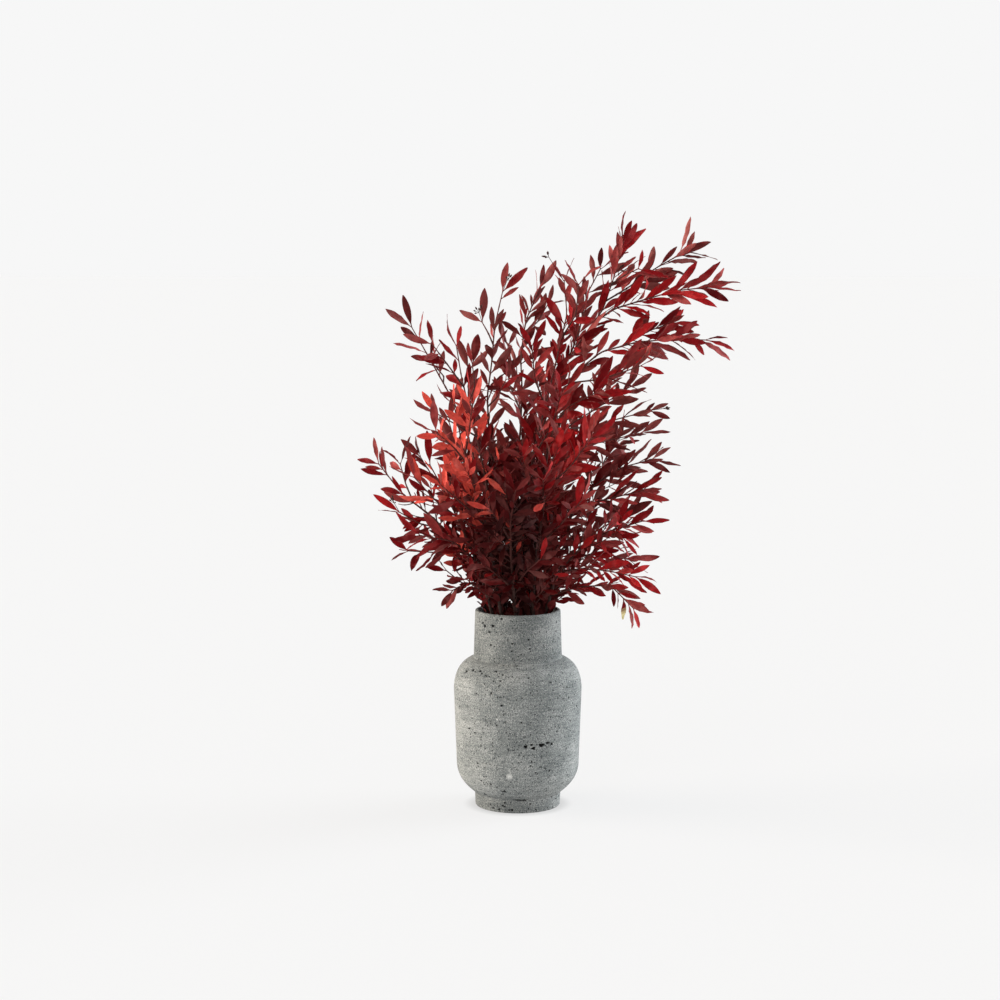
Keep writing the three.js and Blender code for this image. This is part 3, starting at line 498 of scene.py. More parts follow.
# Each stem: name, place in the mouth (x, y), route above the mouth (x, depth, height), and side sprays as
# [height on the main axis where it leaves, route]. The routes line up for an eye at the camera's place.
STEMS = [
    ["left_low", (-0.037, -0.004),
     [(-0.048, -0.010, 0.275), (-0.066, -0.018, 0.308), (-0.092, -0.024, 0.340), (-0.118, -0.026, 0.358),
      (-0.142, -0.024, 0.380), (-0.156, -0.020, 0.399), (-0.166, -0.018, 0.412)],
     [[0.338, [(-0.112, -0.044, 0.338), (-0.130, -0.054, 0.345), (-0.142, -0.060, 0.354)]],
      [0.368, [(-0.136, 0.004, 0.394), (-0.140, 0.014, 0.412)]],
      [0.308, [(-0.088, -0.046, 0.304), (-0.110, -0.058, 0.309), (-0.132, -0.064, 0.307)]],
      [0.268, [(-0.064, -0.022, 0.267), (-0.076, -0.028, 0.275), (-0.086, -0.030, 0.284)]]]],
    ["left_tall", (-0.032, 0.015),
     [(-0.037, 0.022, 0.290), (-0.043, 0.030, 0.350), (-0.050, 0.038, 0.410), (-0.062, 0.042, 0.455),
      (-0.079, 0.044, 0.490), (-0.099, 0.044, 0.527), (-0.115, 0.042, 0.553), (-0.126, 0.040, 0.574)],
     [[0.410, [(-0.072, 0.068, 0.432), (-0.088, 0.086, 0.452), (-0.098, 0.096, 0.470)]],
      [0.330, [(-0.068, 0.056, 0.356), (-0.092, 0.072, 0.382), (-0.108, 0.082, 0.404),
               (-0.116, 0.086, 0.420)]],
      [0.285, [(-0.062, 0.056, 0.300), (-0.086, 0.080, 0.316), (-0.108, 0.094, 0.326)]],
      [0.500, [(-0.086, 0.020, 0.512), (-0.094, 0.006, 0.524), (-0.104, -0.004, 0.534)]]]],
    ["left_front", (-0.031, -0.019),
     [(-0.044, -0.034, 0.278), (-0.060, -0.052, 0.320), (-0.078, -0.066, 0.360), (-0.094, -0.074, 0.390),
      (-0.105, -0.078, 0.411)],
     [[0.305, [(-0.076, -0.070, 0.318), (-0.098, -0.084, 0.327), (-0.118, -0.090, 0.326)]],
      [0.350, [(-0.092, -0.088, 0.362), (-0.112, -0.100, 0.380), (-0.124, -0.106, 0.396)]],
      [0.262, [(-0.058, -0.044, 0.270), (-0.070, -0.054, 0.268), (-0.079, -0.058, 0.259)]]]],
    ["front_left", (-0.020, -0.030),
     [(-0.030, -0.050, 0.300), (-0.042, -0.076, 0.352), (-0.056, -0.096, 0.402), (-0.067, -0.104, 0.438),
      (-0.074, -0.108, 0.462), (-0.076, -0.108, 0.482)],
     [[0.372, [(-0.054, -0.112, 0.388), (-0.060, -0.136, 0.402)]],
      [0.345, [(-0.068, -0.098, 0.366), (-0.082, -0.116, 0.380), (-0.092, -0.124, 0.386)]],
      [0.418, [(-0.084, -0.116, 0.440), (-0.098, -0.122, 0.450)]],
      [0.432, [(-0.056, -0.120, 0.462), (-0.054, -0.126, 0.484)]]]],
    ["left_mid", (-0.018, -0.007),
     [(-0.024, -0.008, 0.300), (-0.034, -0.010, 0.370), (-0.046, -0.010, 0.430), (-0.058, -0.010, 0.478),
      (-0.064, -0.008, 0.503), (-0.069, -0.006, 0.522), (-0.072, -0.004, 0.538), (-0.073, -0.004, 0.552)],
     [[0.503, [(-0.078, -0.024, 0.522), (-0.092, -0.034, 0.540), (-0.102, -0.040, 0.554)]],
      [0.440, [(-0.070, -0.034, 0.456), (-0.088, -0.048, 0.468), (-0.098, -0.054, 0.472)]],
      [0.478, [(-0.052, -0.030, 0.498), (-0.050, -0.042, 0.516), (-0.054, -0.048, 0.530)]]]],
    ["tall_left", (-0.014, 0.013),
     [(-0.018, 0.017, 0.300), (-0.024, 0.019, 0.370), (-0.032, 0.018, 0.430), (-0.037, 0.016, 0.480),
      (-0.033, 0.014, 0.515), (-0.029, 0.012, 0.550), (-0.027, 0.012, 0.580), (-0.022, 0.012, 0.603),
      (-0.018, 0.012, 0.616)],
     [[0.552, [(-0.037, 0.028, 0.570), (-0.043, 0.034, 0.580)]],
      [0.478, [(-0.022, -0.012, 0.494), (-0.014, -0.024, 0.512)]],
      [0.440, [(-0.054, 0.046, 0.470), (-0.060, 0.060, 0.500), (-0.058, 0.068, 0.524)]]]],
    ["tall_middle", (0.004, 0.019),
     [(0.002, 0.025, 0.300), (0.000, 0.029, 0.370), (0.001, 0.031, 0.430), (0.005, 0.030, 0.480),
      (0.004, 0.028, 0.520), (0.003, 0.026, 0.550), (0.008, 0.024, 0.577), (0.015, 0.022, 0.597),
      (0.021, 0.020, 0.609), (0.026, 0.020, 0.620)],
     [[0.566, [(0.022, 0.042, 0.578), (0.030, 0.050, 0.588), (0.035, 0.056, 0.600)]],
      [0.470, [(-0.009, 0.058, 0.500), (-0.014, 0.074, 0.528), (-0.012, 0.082, 0.552)]],
      [0.400, [(0.018, 0.066, 0.432), (0.032, 0.092, 0.462), (0.040, 0.106, 0.490)]]]],
    ["tall_right", (-0.003, -0.018),
     [(0.002, -0.026, 0.300), (0.010, -0.034, 0.370), (0.020, -0.038, 0.430), (0.032, -0.038, 0.480),
      (0.042, -0.034, 0.520), (0.050, -0.030, 0.555), (0.057, -0.028, 0.585), (0.059, -0.026, 0.610),
      (0.054, -0.024, 0.628)],
     [[0.560, [(0.068, -0.048, 0.588), (0.075, -0.058, 0.606), (0.071, -0.062, 0.624)]],
      [0.480, [(0.022, -0.060, 0.506), (0.014, -0.074, 0.530), (0.016, -0.082, 0.552)]],
      [0.430, [(0.038, -0.064, 0.452), (0.048, -0.084, 0.472), (0.050, -0.094, 0.492)]]]],
    ["top_right", (0.018, 0.007),
     [(0.021, 0.008, 0.300), (0.023, 0.008, 0.370), (0.027, 0.006, 0.430), (0.035, 0.004, 0.480),
      (0.050, 0.002, 0.520), (0.070, 0.000, 0.552), (0.086, -0.002, 0.573), (0.098, -0.004, 0.590),
      (0.104, -0.006, 0.607), (0.112, -0.008, 0.630), (0.119, -0.008, 0.652), (0.123, -0.008, 0.674)],
     [[0.594, [(0.120, 0.012, 0.612), (0.145, 0.022, 0.632), (0.168, 0.028, 0.646),
               (0.186, 0.030, 0.655), (0.197, 0.030, 0.662)]],
      [0.578, [(0.114, -0.026, 0.595), (0.140, -0.036, 0.603), (0.165, -0.042, 0.610),
               (0.190, -0.044, 0.617), (0.212, -0.044, 0.621), (0.224, -0.042, 0.620)]],
      [0.548, [(0.076, 0.026, 0.588), (0.081, 0.034, 0.612), (0.089, 0.040, 0.632),
               (0.097, 0.044, 0.642)]],
      [0.625, [(0.128, -0.028, 0.636), (0.142, -0.034, 0.642)]],
      [0.520, [(0.064, -0.028, 0.546), (0.070, -0.038, 0.570), (0.079, -0.046, 0.594)]]]],
    ["far_right", (0.016, -0.012),
     [(0.020, -0.020, 0.300), (0.027, -0.028, 0.370), (0.036, -0.036, 0.430), (0.048, -0.042, 0.480),
      (0.064, -0.046, 0.516), (0.088, -0.048, 0.538), (0.112, -0.048, 0.550), (0.138, -0.048, 0.555),
      (0.165, -0.046, 0.558), (0.190, -0.044, 0.560), (0.210, -0.042, 0.560), (0.222, -0.040, 0.558)],
     [[0.510, [(0.088, -0.068, 0.508), (0.112, -0.080, 0.517), (0.132, -0.086, 0.524),
               (0.146, -0.088, 0.528)]],
      [0.553, [(0.146, -0.024, 0.566), (0.166, -0.012, 0.572), (0.182, -0.004, 0.578)]],
      [0.460, [(0.058, -0.074, 0.478), (0.076, -0.094, 0.492), (0.092, -0.104, 0.496)]],
      [0.400, [(0.052, -0.064, 0.414), (0.072, -0.086, 0.430), (0.086, -0.098, 0.448)]]]],
    ["centre", (0.000, 0.000),
     [(0.005, -0.002, 0.300), (0.013, -0.002, 0.365), (0.027, 0.002, 0.414), (0.050, 0.008, 0.448),
      (0.078, 0.014, 0.468), (0.104, 0.018, 0.484), (0.120, 0.020, 0.492), (0.131, 0.020, 0.502)],
     [[0.452, [(0.086, 0.040, 0.456), (0.115, 0.052, 0.464), (0.142, 0.058, 0.470),
               (0.157, 0.060, 0.475)]],
      [0.430, [(0.070, 0.040, 0.430), (0.102, 0.060, 0.438), (0.130, 0.070, 0.447),
               (0.146, 0.074, 0.448)]],
      [0.380, [(0.010, 0.012, 0.420), (0.006, 0.004, 0.450), (0.012, -0.008, 0.478)]]]],
    ["right_high", (0.036, 0.007),
     [(0.042, 0.014, 0.283), (0.054, 0.024, 0.328), (0.072, 0.034, 0.364), (0.095, 0.042, 0.390),
      (0.120, 0.048, 0.406), (0.142, 0.050, 0.414), (0.160, 0.050, 0.417)],
     [[0.350, [(0.094, 0.012, 0.364), (0.122, 0.006, 0.376), (0.150, 0.004, 0.380)]],
      [0.306, [(0.080, 0.048, 0.324), (0.106, 0.062, 0.338), (0.126, 0.070, 0.350)]],
      [0.384, [(0.098, 0.068, 0.408), (0.112, 0.084, 0.428), (0.120, 0.092, 0.440)]]]],
    ["right_low", (0.033, -0.015),
     [(0.043, -0.024, 0.272), (0.060, -0.034, 0.296), (0.084, -0.042, 0.318), (0.110, -0.048, 0.332),
      (0.135, -0.052, 0.340), (0.148, -0.054, 0.343)],
     [[0.256, [(0.062, -0.042, 0.262), (0.088, -0.056, 0.266), (0.112, -0.064, 0.266),
               (0.128, -0.068, 0.259), (0.136, -0.070, 0.247), (0.139, -0.070, 0.237)]],
      [0.278, [(0.080, -0.060, 0.286), (0.104, -0.074, 0.284), (0.128, -0.082, 0.278),
               (0.141, -0.086, 0.276)]],
      [0.304, [(0.096, -0.014, 0.306), (0.116, -0.002, 0.300), (0.134, 0.006, 0.296)]]]],
    ["front_right", (0.018, -0.031),
     [(0.022, -0.048, 0.290), (0.027, -0.074, 0.335), (0.032, -0.096, 0.372), (0.036, -0.108, 0.400),
      (0.044, -0.116, 0.424), (0.052, -0.118, 0.444)],
     [[0.366, [(0.030, -0.116, 0.380), (0.030, -0.136, 0.393)]],
      [0.318, [(0.048, -0.092, 0.336), (0.064, -0.108, 0.352), (0.076, -0.116, 0.368)]],
      [0.392, [(0.062, -0.118, 0.408), (0.080, -0.126, 0.426), (0.088, -0.128, 0.444)]]]],
    ["front_low", (-0.003, -0.036),
     [(-0.006, -0.056, 0.275), (-0.009, -0.082, 0.312), (-0.009, -0.104, 0.342), (-0.007, -0.118, 0.362),
      (-0.003, -0.126, 0.380)],
     [[0.268, [(-0.024, -0.076, 0.278), (-0.038, -0.094, 0.288)]],
      [0.276, [(0.014, -0.082, 0.288), (0.028, -0.100, 0.298)]],
      [0.330, [(-0.024, -0.112, 0.344), (-0.034, -0.124, 0.358)]]]],
    ["back_right", (0.026, 0.026),
     [(0.033, 0.044, 0.300), (0.045, 0.066, 0.360), (0.059, 0.084, 0.410), (0.074, 0.096, 0.450),
      (0.090, 0.104, 0.480), (0.100, 0.108, 0.502)],
     [[0.330, [(0.068, 0.076, 0.344), (0.094, 0.096, 0.360), (0.116, 0.106, 0.370)]],
      [0.395, [(0.052, 0.106, 0.434), (0.046, 0.122, 0.468), (0.048, 0.128, 0.500)]],
      [0.290, [(0.056, 0.060, 0.286), (0.080, 0.076, 0.284), (0.102, 0.084, 0.290)]]]],
    ["back", (0.006, 0.036),
     [(0.008, 0.058, 0.300), (0.010, 0.084, 0.360), (0.008, 0.104, 0.415), (0.004, 0.116, 0.460),
      (0.000, 0.122, 0.500), (-0.002, 0.124, 0.528)],
     [[0.330, [(0.028, 0.092, 0.348), (0.044, 0.116, 0.370), (0.052, 0.128, 0.394)]],
      [0.350, [(-0.012, 0.106, 0.380), (-0.028, 0.124, 0.406), (-0.036, 0.132, 0.430)]],
      [0.285, [(0.020, 0.078, 0.286), (0.030, 0.100, 0.292), (0.034, 0.116, 0.302)]]]],
    ["back_left", (-0.015, 0.033),
     [(-0.022, 0.052, 0.290), (-0.036, 0.076, 0.335), (-0.052, 0.094, 0.375), (-0.066, 0.104, 0.410),
      (-0.076, 0.108, 0.440), (-0.082, 0.108, 0.462)],
     [[0.300, [(-0.050, 0.072, 0.308), (-0.074, 0.092, 0.316), (-0.092, 0.102, 0.316)]],
      [0.340, [(-0.034, 0.106, 0.368), (-0.030, 0.126, 0.398), (-0.024, 0.134, 0.428)]],
      [0.272, [(-0.034, 0.066, 0.272), (-0.044, 0.084, 0.276), (-0.050, 0.098, 0.284)]]]],
]
SEED = 20731
CURVE_STEPS = 8
FORK_ENDS = 0.25
LIMB_CLEARANCE = 0.0075
BEND_PASSES = 40
NEARLY_PARALLEL = 1e-15
NEARLY_CROSSING = 1e-5
UP = np.array([0.0, 0.0, 1.0])


def unit(vector):
    """A vector at length 1."""
    return vector / np.linalg.norm(vector)


def turned(vector, axis, angle):
    """A vector turned about an axis it is square to."""
    return vector * math.cos(angle) + np.cross(axis, vector) * math.sin(angle)


def draw(*keys):
    """A number from 0 to 1 that depends only on whole-number keys, so that each leaf keeps its own draws."""
    mixed = SEED
    for key in keys:
        mixed = ((mixed ^ (key + 1)) * 2654435761) & 0xFFFFFFFF
        mixed ^= mixed >> 15
    mixed = (mixed * 2246822519) & 0xFFFFFFFF
    return (mixed ^ (mixed >> 13)) / 4294967296


def seen(point):
    """A listed point, moved along the eye's line of sight to its real depth."""
    x, depth, height = point
    nearer = 1 + depth / EYE_DISTANCE
    return np.array([x * nearer, depth, EYE_HEIGHT + (height - EYE_HEIGHT) * nearer])


def joints(points, first):
    """A smooth line through points from one index on, cut into even joints of about JOINT_LENGTH."""
    fine = []
    for i in range(first, len(points) - 1):
        a, b, c, d = (points[min(max(i + k, 0), len(points) - 1)] for k in (-1, 0, 1, 2))
        for step in range(CURVE_STEPS):
            t = step / CURVE_STEPS
            cubic = (3 * (b - c) + d - a) * t ** 3
            fine.append(0.5 * (2 * b + (c - a) * t + (2 * a - 5 * b + 4 * c - d) * t * t + cubic))
    fine = np.array(fine + [points[-1]])
    along = np.concatenate([[0], np.cumsum(np.linalg.norm(np.diff(fine, axis=0), axis=1))])
    count = max(2, math.floor(along[-1] / JOINT_LENGTH + 0.5))
    marks = np.linspace(0, along[-1], count + 1)
    return np.stack([np.interp(marks, along, fine[:, k]) for k in range(3)], axis=1)


def fork_point(limb):
    """Where a side spray leaves its main axis."""
    low, high = limb["main"]["points"][limb["fork"]:limb["fork"] + 2]
    return low + (high - low) * limb["fork_share"]


def plant_limbs():
    """Every limb of every stem: the main axis from the vase's floor, then its side sprays."""
    limbs = []
    for stem, (name, mouth, route, sprays) in enumerate(STEMS):
        x, y = mouth
        cos, sin = math.cos(FLOOR_TURN), math.sin(FLOOR_TURN)
        root = np.array([x * cos - y * sin, x * sin + y * cos, FLOOR + STANDING_GAP])
        line = [root, np.array([x, y, VASE_HEIGHT]), *map(seen, route)]
        points = np.vstack([[root], joints(line, 1)])
        main = {"stem": stem, "spray": 0, "points": points, "pinned": 2, "first": 1, "main": None}
        limbs.append(main)
        for index, (height, spray_route) in enumerate(sprays):
            fork = 1
            while fork < len(points) - 2 and points[fork + 1][2] < height:
                fork += 1
            share = (height - points[fork][2]) / (points[fork + 1][2] - points[fork][2])
            limb = {"stem": stem, "spray": index + 1, "pinned": 0, "first": 0, "main": main, "fork": fork,
                    "fork_share": min(max(share, FORK_ENDS), 1 - FORK_ENDS)}
            limb["points"] = joints([fork_point(limb), *map(seen, spray_route)], 0)
            limbs.append(limb)
    return limbs


def bend_clear(limbs):
    """Bends limbs of different stems apart, a little at a time, where they come too close."""
    owner, index = [], []
    for i, limb in enumerate(limbs):
        for k in range(limb["first"], len(limb["points"]) - 1):
            owner.append(i)
            index.append(k)
    owner, index = np.array(owner), np.array(index)
    stems = np.array([limb["stem"] for limb in limbs])[owner]
    one, two = np.triu_indices(len(owner), 1)
    apart = stems[one] != stems[two]
    one, two = one[apart], two[apart]
    starts = np.concatenate([[0], np.cumsum([len(limb["points"]) for limb in limbs])])
    first = starts[owner] + index
    for _ in range(BEND_PASSES):
        places = np.vstack([limb["points"] for limb in limbs])
        p, q = places[first[one]], places[first[two]]
        u, v, w = places[first[one] + 1] - p, places[first[two] + 1] - q, p - q
        a, b, c = (u * u).sum(1), (u * v).sum(1), (u * w).sum(1)
        e, f = (v * v).sum(1), (v * w).sum(1)
        across = a * e - b * b
        s = np.clip((b * f - c * e) / np.maximum(across, NEARLY_PARALLEL), 0, 1)
        s = np.where(across > NEARLY_PARALLEL, s, 0)
        t = (b * s + f) / e
        s = np.where(t < 0, np.clip(-c / a, 0, 1), np.where(t > 1, np.clip((b - c) / a, 0, 1), s))
        t = np.clip(t, 0, 1)
        gap = w + u * s[:, None] - v * t[:, None]
        distance = np.linalg.norm(gap, axis=1)
        close = distance < LIMB_CLEARANCE
        strength = (LIMB_CLEARANCE - distance) / 2 / np.maximum(distance, NEARLY_CROSSING)
        push = (gap * strength[:, None])[close]
        s, t = s[close][:, None], t[close][:, None]
        pushes = np.zeros_like(places)
        np.add.at(pushes, first[one[close]], push * (1 - s))
        np.add.at(pushes, first[one[close]] + 1, push * s)
        np.add.at(pushes, first[two[close]], push * (t - 1))
        np.add.at(pushes, first[two[close]] + 1, -push * t)
        for limb, start in zip(limbs, starts):
            pinned = limb["pinned"]
            limb["points"][pinned:] += pushes[start + pinned:start + len(limb["points"])]
        for limb in limbs:
            if limb["main"]:
                limb["points"][0] = fork_point(limb)


def limb_radius(limb, share):
    """The limb's radius in the solid model at a share of its leafy length."""
    root, tip = limb.get("radii") or (
        (SPRAY_ROOT_RADIUS, SPRAY_TIP_RADIUS) if limb["main"] else (STEM_ROOT_RADIUS, STEM_TIP_RADIUS))
    return root + (tip - root) * share


def leafy_length(limb):
    """The length of a limb from where its leaves may start."""
    return float(np.linalg.norm(np.diff(limb["points"][limb["first"]:], axis=0), axis=1).sum())


def place_on(limb, length):
    """The point and direction at a length along a limb, counted from where its leaves may start."""
    points, k = limb["points"], limb["first"]
    if length < 0:
        way = unit(points[k] - points[k - 1])
        return points[k] + way * length, way
    step = np.linalg.norm(points[k + 1] - points[k])
    while length > step and k < len(points) - 2:
        length -= step
        k += 1
        step = np.linalg.norm(points[k + 1] - points[k])
    way = (points[k + 1] - points[k]) / step
    return points[k] + way * length, way


limbs = plant_limbs()
bend_clear(limbs)

# Short side shoots low on each stem, cut and dyed with it. They are too fine for the solid model, and fill
# the mouth of the vase with small leaves.
PAIR_SPACING_LOW = 0.013
PAIR_SPACING_HIGH = 0.0165
BARE_ABOVE_MOUTH = 0.009
BARE_ABOVE_FORK = 0.014
TIP_SETBACK = 0.0015
SPACING_LEAST = 0.9
SPACING_SPREAD = 0.2
MOUTH = np.array([0, 0, VASE_HEIGHT])
SMALL_LEAVES_WITHIN = 0.15
WOOD_POINT_SPACING = 0.0035
SHOOT_LOWEST = 0.002
SHOOT_HIGHEST = 0.17
SHOOT_BELOW_TIP = 0.03
SHOOT_SPACING = 0.012
SHOOT_JITTER = 0.6
SHOOT_ABOVE_RIM = 0.004
SHOOT_LENGTH = 0.020
SHOOT_LENGTH_SPREAD = 0.024
SHOOT_LEAN = 0.95
SHOOT_LEAN_LEAST = 0.75
SHOOT_LEAN_SPREAD = 0.5
SHOOT_RISE = 0.35
SHOOT_RADII = (0.0009, 0.0006)
SHOOT_CLEARANCE = 0.0035
SHOOT_TRIES = 5
SHOOT_KEY = 50
SHOOT_LEAF_SIZE = 0.78
SHOOT_BARE = 0.005
SHOOT_PAIR_SPACING = 0.0075
# A direction that no stem takes, to find one square to a stem
ASKEW = [0.31, 0.92, 0.24]


def as_seen(place):
    """Where a place lies on the upright plane through the vase's axis, as the eye sees it: x and height."""
    nearer = 1 + place[1] / EYE_DISTANCE
    return place[0] / nearer, EYE_HEIGHT + (place[2] - EYE_HEIGHT) / nearer


def pairs_on(limb):
    """Where the opposite pairs sit on a limb, from its tip inwards, closer near the mouth."""
    bare = limb.get("bare", BARE_ABOVE_FORK if limb["main"] else BARE_ABOVE_MOUTH)
    pairs = []
    along = leafy_length(limb) - TIP_SETBACK
    while along > bare:
        place = place_on(limb, along)
        low = 1 - min(np.linalg.norm(place[0] - MOUTH) / SMALL_LEAVES_WITHIN, 1)
        pairs.append((along, place, low))
        spacing = limb.get("spacing", PAIR_SPACING_HIGH + (PAIR_SPACING_LOW - PAIR_SPACING_HIGH) * low)
        chance = draw(limb["stem"], limb["spray"], len(pairs) - 1, 10)
        along -= spacing * (SPACING_LEAST + SPACING_SPREAD * chance)
    return pairs


def grow_shoots(limbs):
    """Short curved shoots off the main axes above the mouth, clear of the other limbs."""
    shoots = []
    points, owners = [], []
    for limb in limbs:
        length = leafy_length(limb)
        for along in np.arange(0, length, WOOD_POINT_SPACING):
            points.append(place_on(limb, along)[0])
            owners.append(limb["stem"])
    points, owners = np.array(points), np.array(owners)
    for limb in [limb for limb in limbs if not limb["main"]]:
        stem = limb["stem"]
        highest = min(SHOOT_HIGHEST, leafy_length(limb) - SHOOT_BELOW_TIP)
        for number, along in enumerate(np.arange(SHOOT_LOWEST, highest, SHOOT_SPACING)):
            along += SHOOT_SPACING * SHOOT_JITTER * draw(stem, SHOOT_KEY + number, 1)
            base, axis = place_on(limb, along)
            for attempt in range(SHOOT_TRIES):
                def key(which):
                    return draw(stem, SHOOT_KEY + number, attempt, which)

                swing = 2 * math.pi * key(2)
                out = turned(unit(np.cross(axis, ASKEW)), axis, swing)
                length = SHOOT_LENGTH + SHOOT_LENGTH_SPREAD * key(3)
                lean = SHOOT_LEAN * (SHOOT_LEAN_LEAST + SHOOT_LEAN_SPREAD * key(4))
                way = axis * math.cos(lean) + out * math.sin(lean)
                line = np.array([base + way * length * t + UP * SHOOT_RISE * length * t * t
                                 for t in (0, 0.25, 0.5, 0.75, 1)])
                others = points[owners != stem]
                gap = np.linalg.norm(others[None] - line[1:, None], axis=2).min()
                if gap > SHOOT_CLEARANCE and line[:, 2].min() > VASE_HEIGHT + SHOOT_ABOVE_RIM:
                    shoots.append({"stem": stem, "spray": SHOOT_KEY + number, "pinned": 0, "first": 0,
                                   "main": limb, "points": line, "radii": SHOOT_RADII,
                                   "leaf_size": SHOOT_LEAF_SIZE, "bare": SHOOT_BARE,
                                   "spacing": SHOOT_PAIR_SPACING})
                    more = (line[1:] + line[:-1]) / 2
                    points = np.vstack([points, line[1:], more])
                    owners = np.concatenate([owners, [stem] * (len(line) - 1 + len(more))])
                    break
    return shoots


# The wood of each stem: a thin tapering tube for every limb, swollen a little where the leaf pairs sit, with
# thin bark. The main axes narrow to the cut end that stands on the vase's floor.
WOOD_SIDES = 8
RING_SPACING = 0.005
RINGS_APART = 0.0004
CORNER_ROUNDING = 0.14
NODE_SWELLING = 0.3
SLIM_ROOT = 0.85
SLIM_TIP = 0.64
NODE_HALF_LENGTH = 0.0018
NODE_SHARPNESS = 1.5
NODE_LOWEST = 0.004
NODE_BELOW_TIP = 0.002
CUT_RING = 0.002
CUT_TAPER = 0.4
CUT_TAPER_LENGTH = 0.008
# Another direction that no stem takes
ASLANT = [0.36, 0.87, 0.33]
YOUNG_AT_FORK = 0.25


def wood_line(limb):
    """The limb's whole line with its corners rounded, as points and lengths along it."""
    corners = limb["points"]
    points = [corners[0]]
    for before, corner, after in zip(corners, corners[1:], corners[2:]):
        start = corner + (before - corner) * CORNER_ROUNDING
        end = corner + (after - corner) * CORNER_ROUNDING
        points += [start, start * 0.25 + corner * 0.5 + end * 0.25, end]
    points = np.array(points + [corners[-1]])
    along = np.concatenate([[0], np.cumsum(np.linalg.norm(np.diff(points, axis=0), axis=1))])
    return points, along


def wood_tube(limb, nodes):
    """Rings of points along a limb, swollen where leaf pairs sit, with the middle and share of each ring."""
    points, along = wood_line(limb)
    total = along[-1]
    bare = total - leafy_length(limb) if not limb["main"] else 0.0
    nodes = np.array([bare + node for node in nodes if NODE_LOWEST < bare + node < total - NODE_BELOW_TIP])
    around = np.concatenate([nodes + k * NODE_HALF_LENGTH for k in (-1, 0, 1)])
    marks = np.concatenate([np.arange(0, total, RING_SPACING), [total], around])
    if not limb["main"]:
        marks = np.concatenate([marks, [CUT_RING, CUT_TAPER_LENGTH]])
    marks = np.unique(marks)
    marks = marks[np.concatenate([[True], np.diff(marks) > RINGS_APART])]
    centre = np.stack([np.interp(marks, along, points[:, k]) for k in range(3)], axis=1)
    ways = np.gradient(centre, axis=0)
    ways /= np.linalg.norm(ways, axis=1)[:, None]
    share = np.clip((marks - bare) / max(total - bare, 1e-6), 0, 1)
    radius = limb_radius(limb, share) * (SLIM_ROOT + (SLIM_TIP - SLIM_ROOT) * share)
    for node in nodes:
        off = (marks - node) / NODE_HALF_LENGTH
        radius = radius * (1 + NODE_SWELLING * np.exp(-off ** 2 * NODE_SHARPNESS))
    if not limb["main"]:
        radius = radius * np.clip(CUT_TAPER + (1 - CUT_TAPER) * marks / CUT_TAPER_LENGTH, 0, 1)
    side = np.cross(ways[0], ASLANT)
    rings = []
    for place, way, size in zip(centre, ways, radius):
        side = side - way * side.dot(way)
        side /= np.linalg.norm(side)
        other = np.cross(way, side)
        turn = np.arange(WOOD_SIDES) * 2 * math.pi / WOOD_SIDES
        rings.append(place + size * (np.outer(np.cos(turn), side) + np.outer(np.sin(turn), other)))
    return np.array(rings), centre, share


def tube_faces(count, sides, start):
    """Quads between rings, and fans of triangles to a point at each end that follow the rings."""
    faces = []
    for row in range(count - 1):
        for k in range(sides):
            j = (k + 1) % sides
            a = start + row * sides
            faces.append((a + k, a + j, a + sides + j, a + sides + k))
    first, last = start + count * sides, start + count * sides + 1
    a = start + (count - 1) * sides
    faces += [(first, start + (k + 1) % sides, start + k) for k in range(sides)]
    faces += [(last, a + k, a + (k + 1) % sides) for k in range(sides)]
    return faces


def bark():
    """Thin eucalyptus bark: near black where it is old, reddish brown towards the tips, lightly fissured."""
    material, tree, output = new_material("dyed bark")
    age = add_node(tree, "Attribute", {"attribute_name": "age"})
    tone = add_node(tree, "ValToRGB", inputs={0: age.outputs["Fac"]})
    tone.color_ramp.elements[0].color = linear("#2b1d19")
    tone.color_ramp.elements[1].color = linear("#5b2a26")
    place = add_node(tree, "TexCoord").outputs["Object"]
    # flecks about 1 mm wide and 3 mm long, up and down the stem
    stretch = add_node(tree, "Mapping", inputs={"Vector": place, "Scale": (900, 900, 300)})
    flecks = add_node(tree, "TexNoise", inputs={"Vector": stretch.outputs[0], "Scale": 1.0, "Detail": 2.0})
    shade = add_node(tree, "MapRange", inputs={0: flecks.outputs["Fac"], 1: 0.3, 2: 0.7, 3: 0.7, 4: 1.3})
    colour = add_node(tree, "VectorMath", {"operation": "MULTIPLY"}, {
        0: tone.outputs[0], 1: shade.outputs[0]})
    bump = add_node(tree, "Bump", inputs={
        "Strength": 0.3, "Distance": 0.0002, "Height": flecks.outputs["Fac"]})
    shader = add_node(tree, "BsdfPrincipled", inputs={
        "Base Color": colour.outputs[0], "Roughness": 0.7, "Specular IOR Level": 0.2,
        "Normal": bump.outputs[0]})
    tree.links.new(shader.outputs[0], output.inputs[0])
    return material


# Small dark clusters of buds, dried on the stem, that stand on short twigs. Each is listed by where the end
# of its twig is seen: x and height.
BUD_CLUSTERS = [
    (-0.013, 0.628), (-0.046, 0.590), (-0.147, 0.364), (0.171, 0.477), (0.118, 0.640), (0.036, 0.655)]
TWIG_SIDES = 6
TWIG_RADIUS = 0.0004
TWIG_LOWEST = 0.02
TWIG_SEARCH = 0.002
BUDS_A_CLUSTER = 5
BUD_KEY = 70
BUD_SCATTER = 2.2
BUD_STALK_RADIUS = TWIG_RADIUS * 0.7
# Each with the least share of it that a bud has, and how far the share is spread
BUD_STALK = (0.0045, 0.6, 0.7)
BUD_LENGTH = (0.0042, 0.7, 0.6)
BUD_RADIUS = (0.0009, 0.8, 0.5)
BUD_PROFILE = (1, 1.15, 0.8, 0.15)
BUD_AGE = 0.35


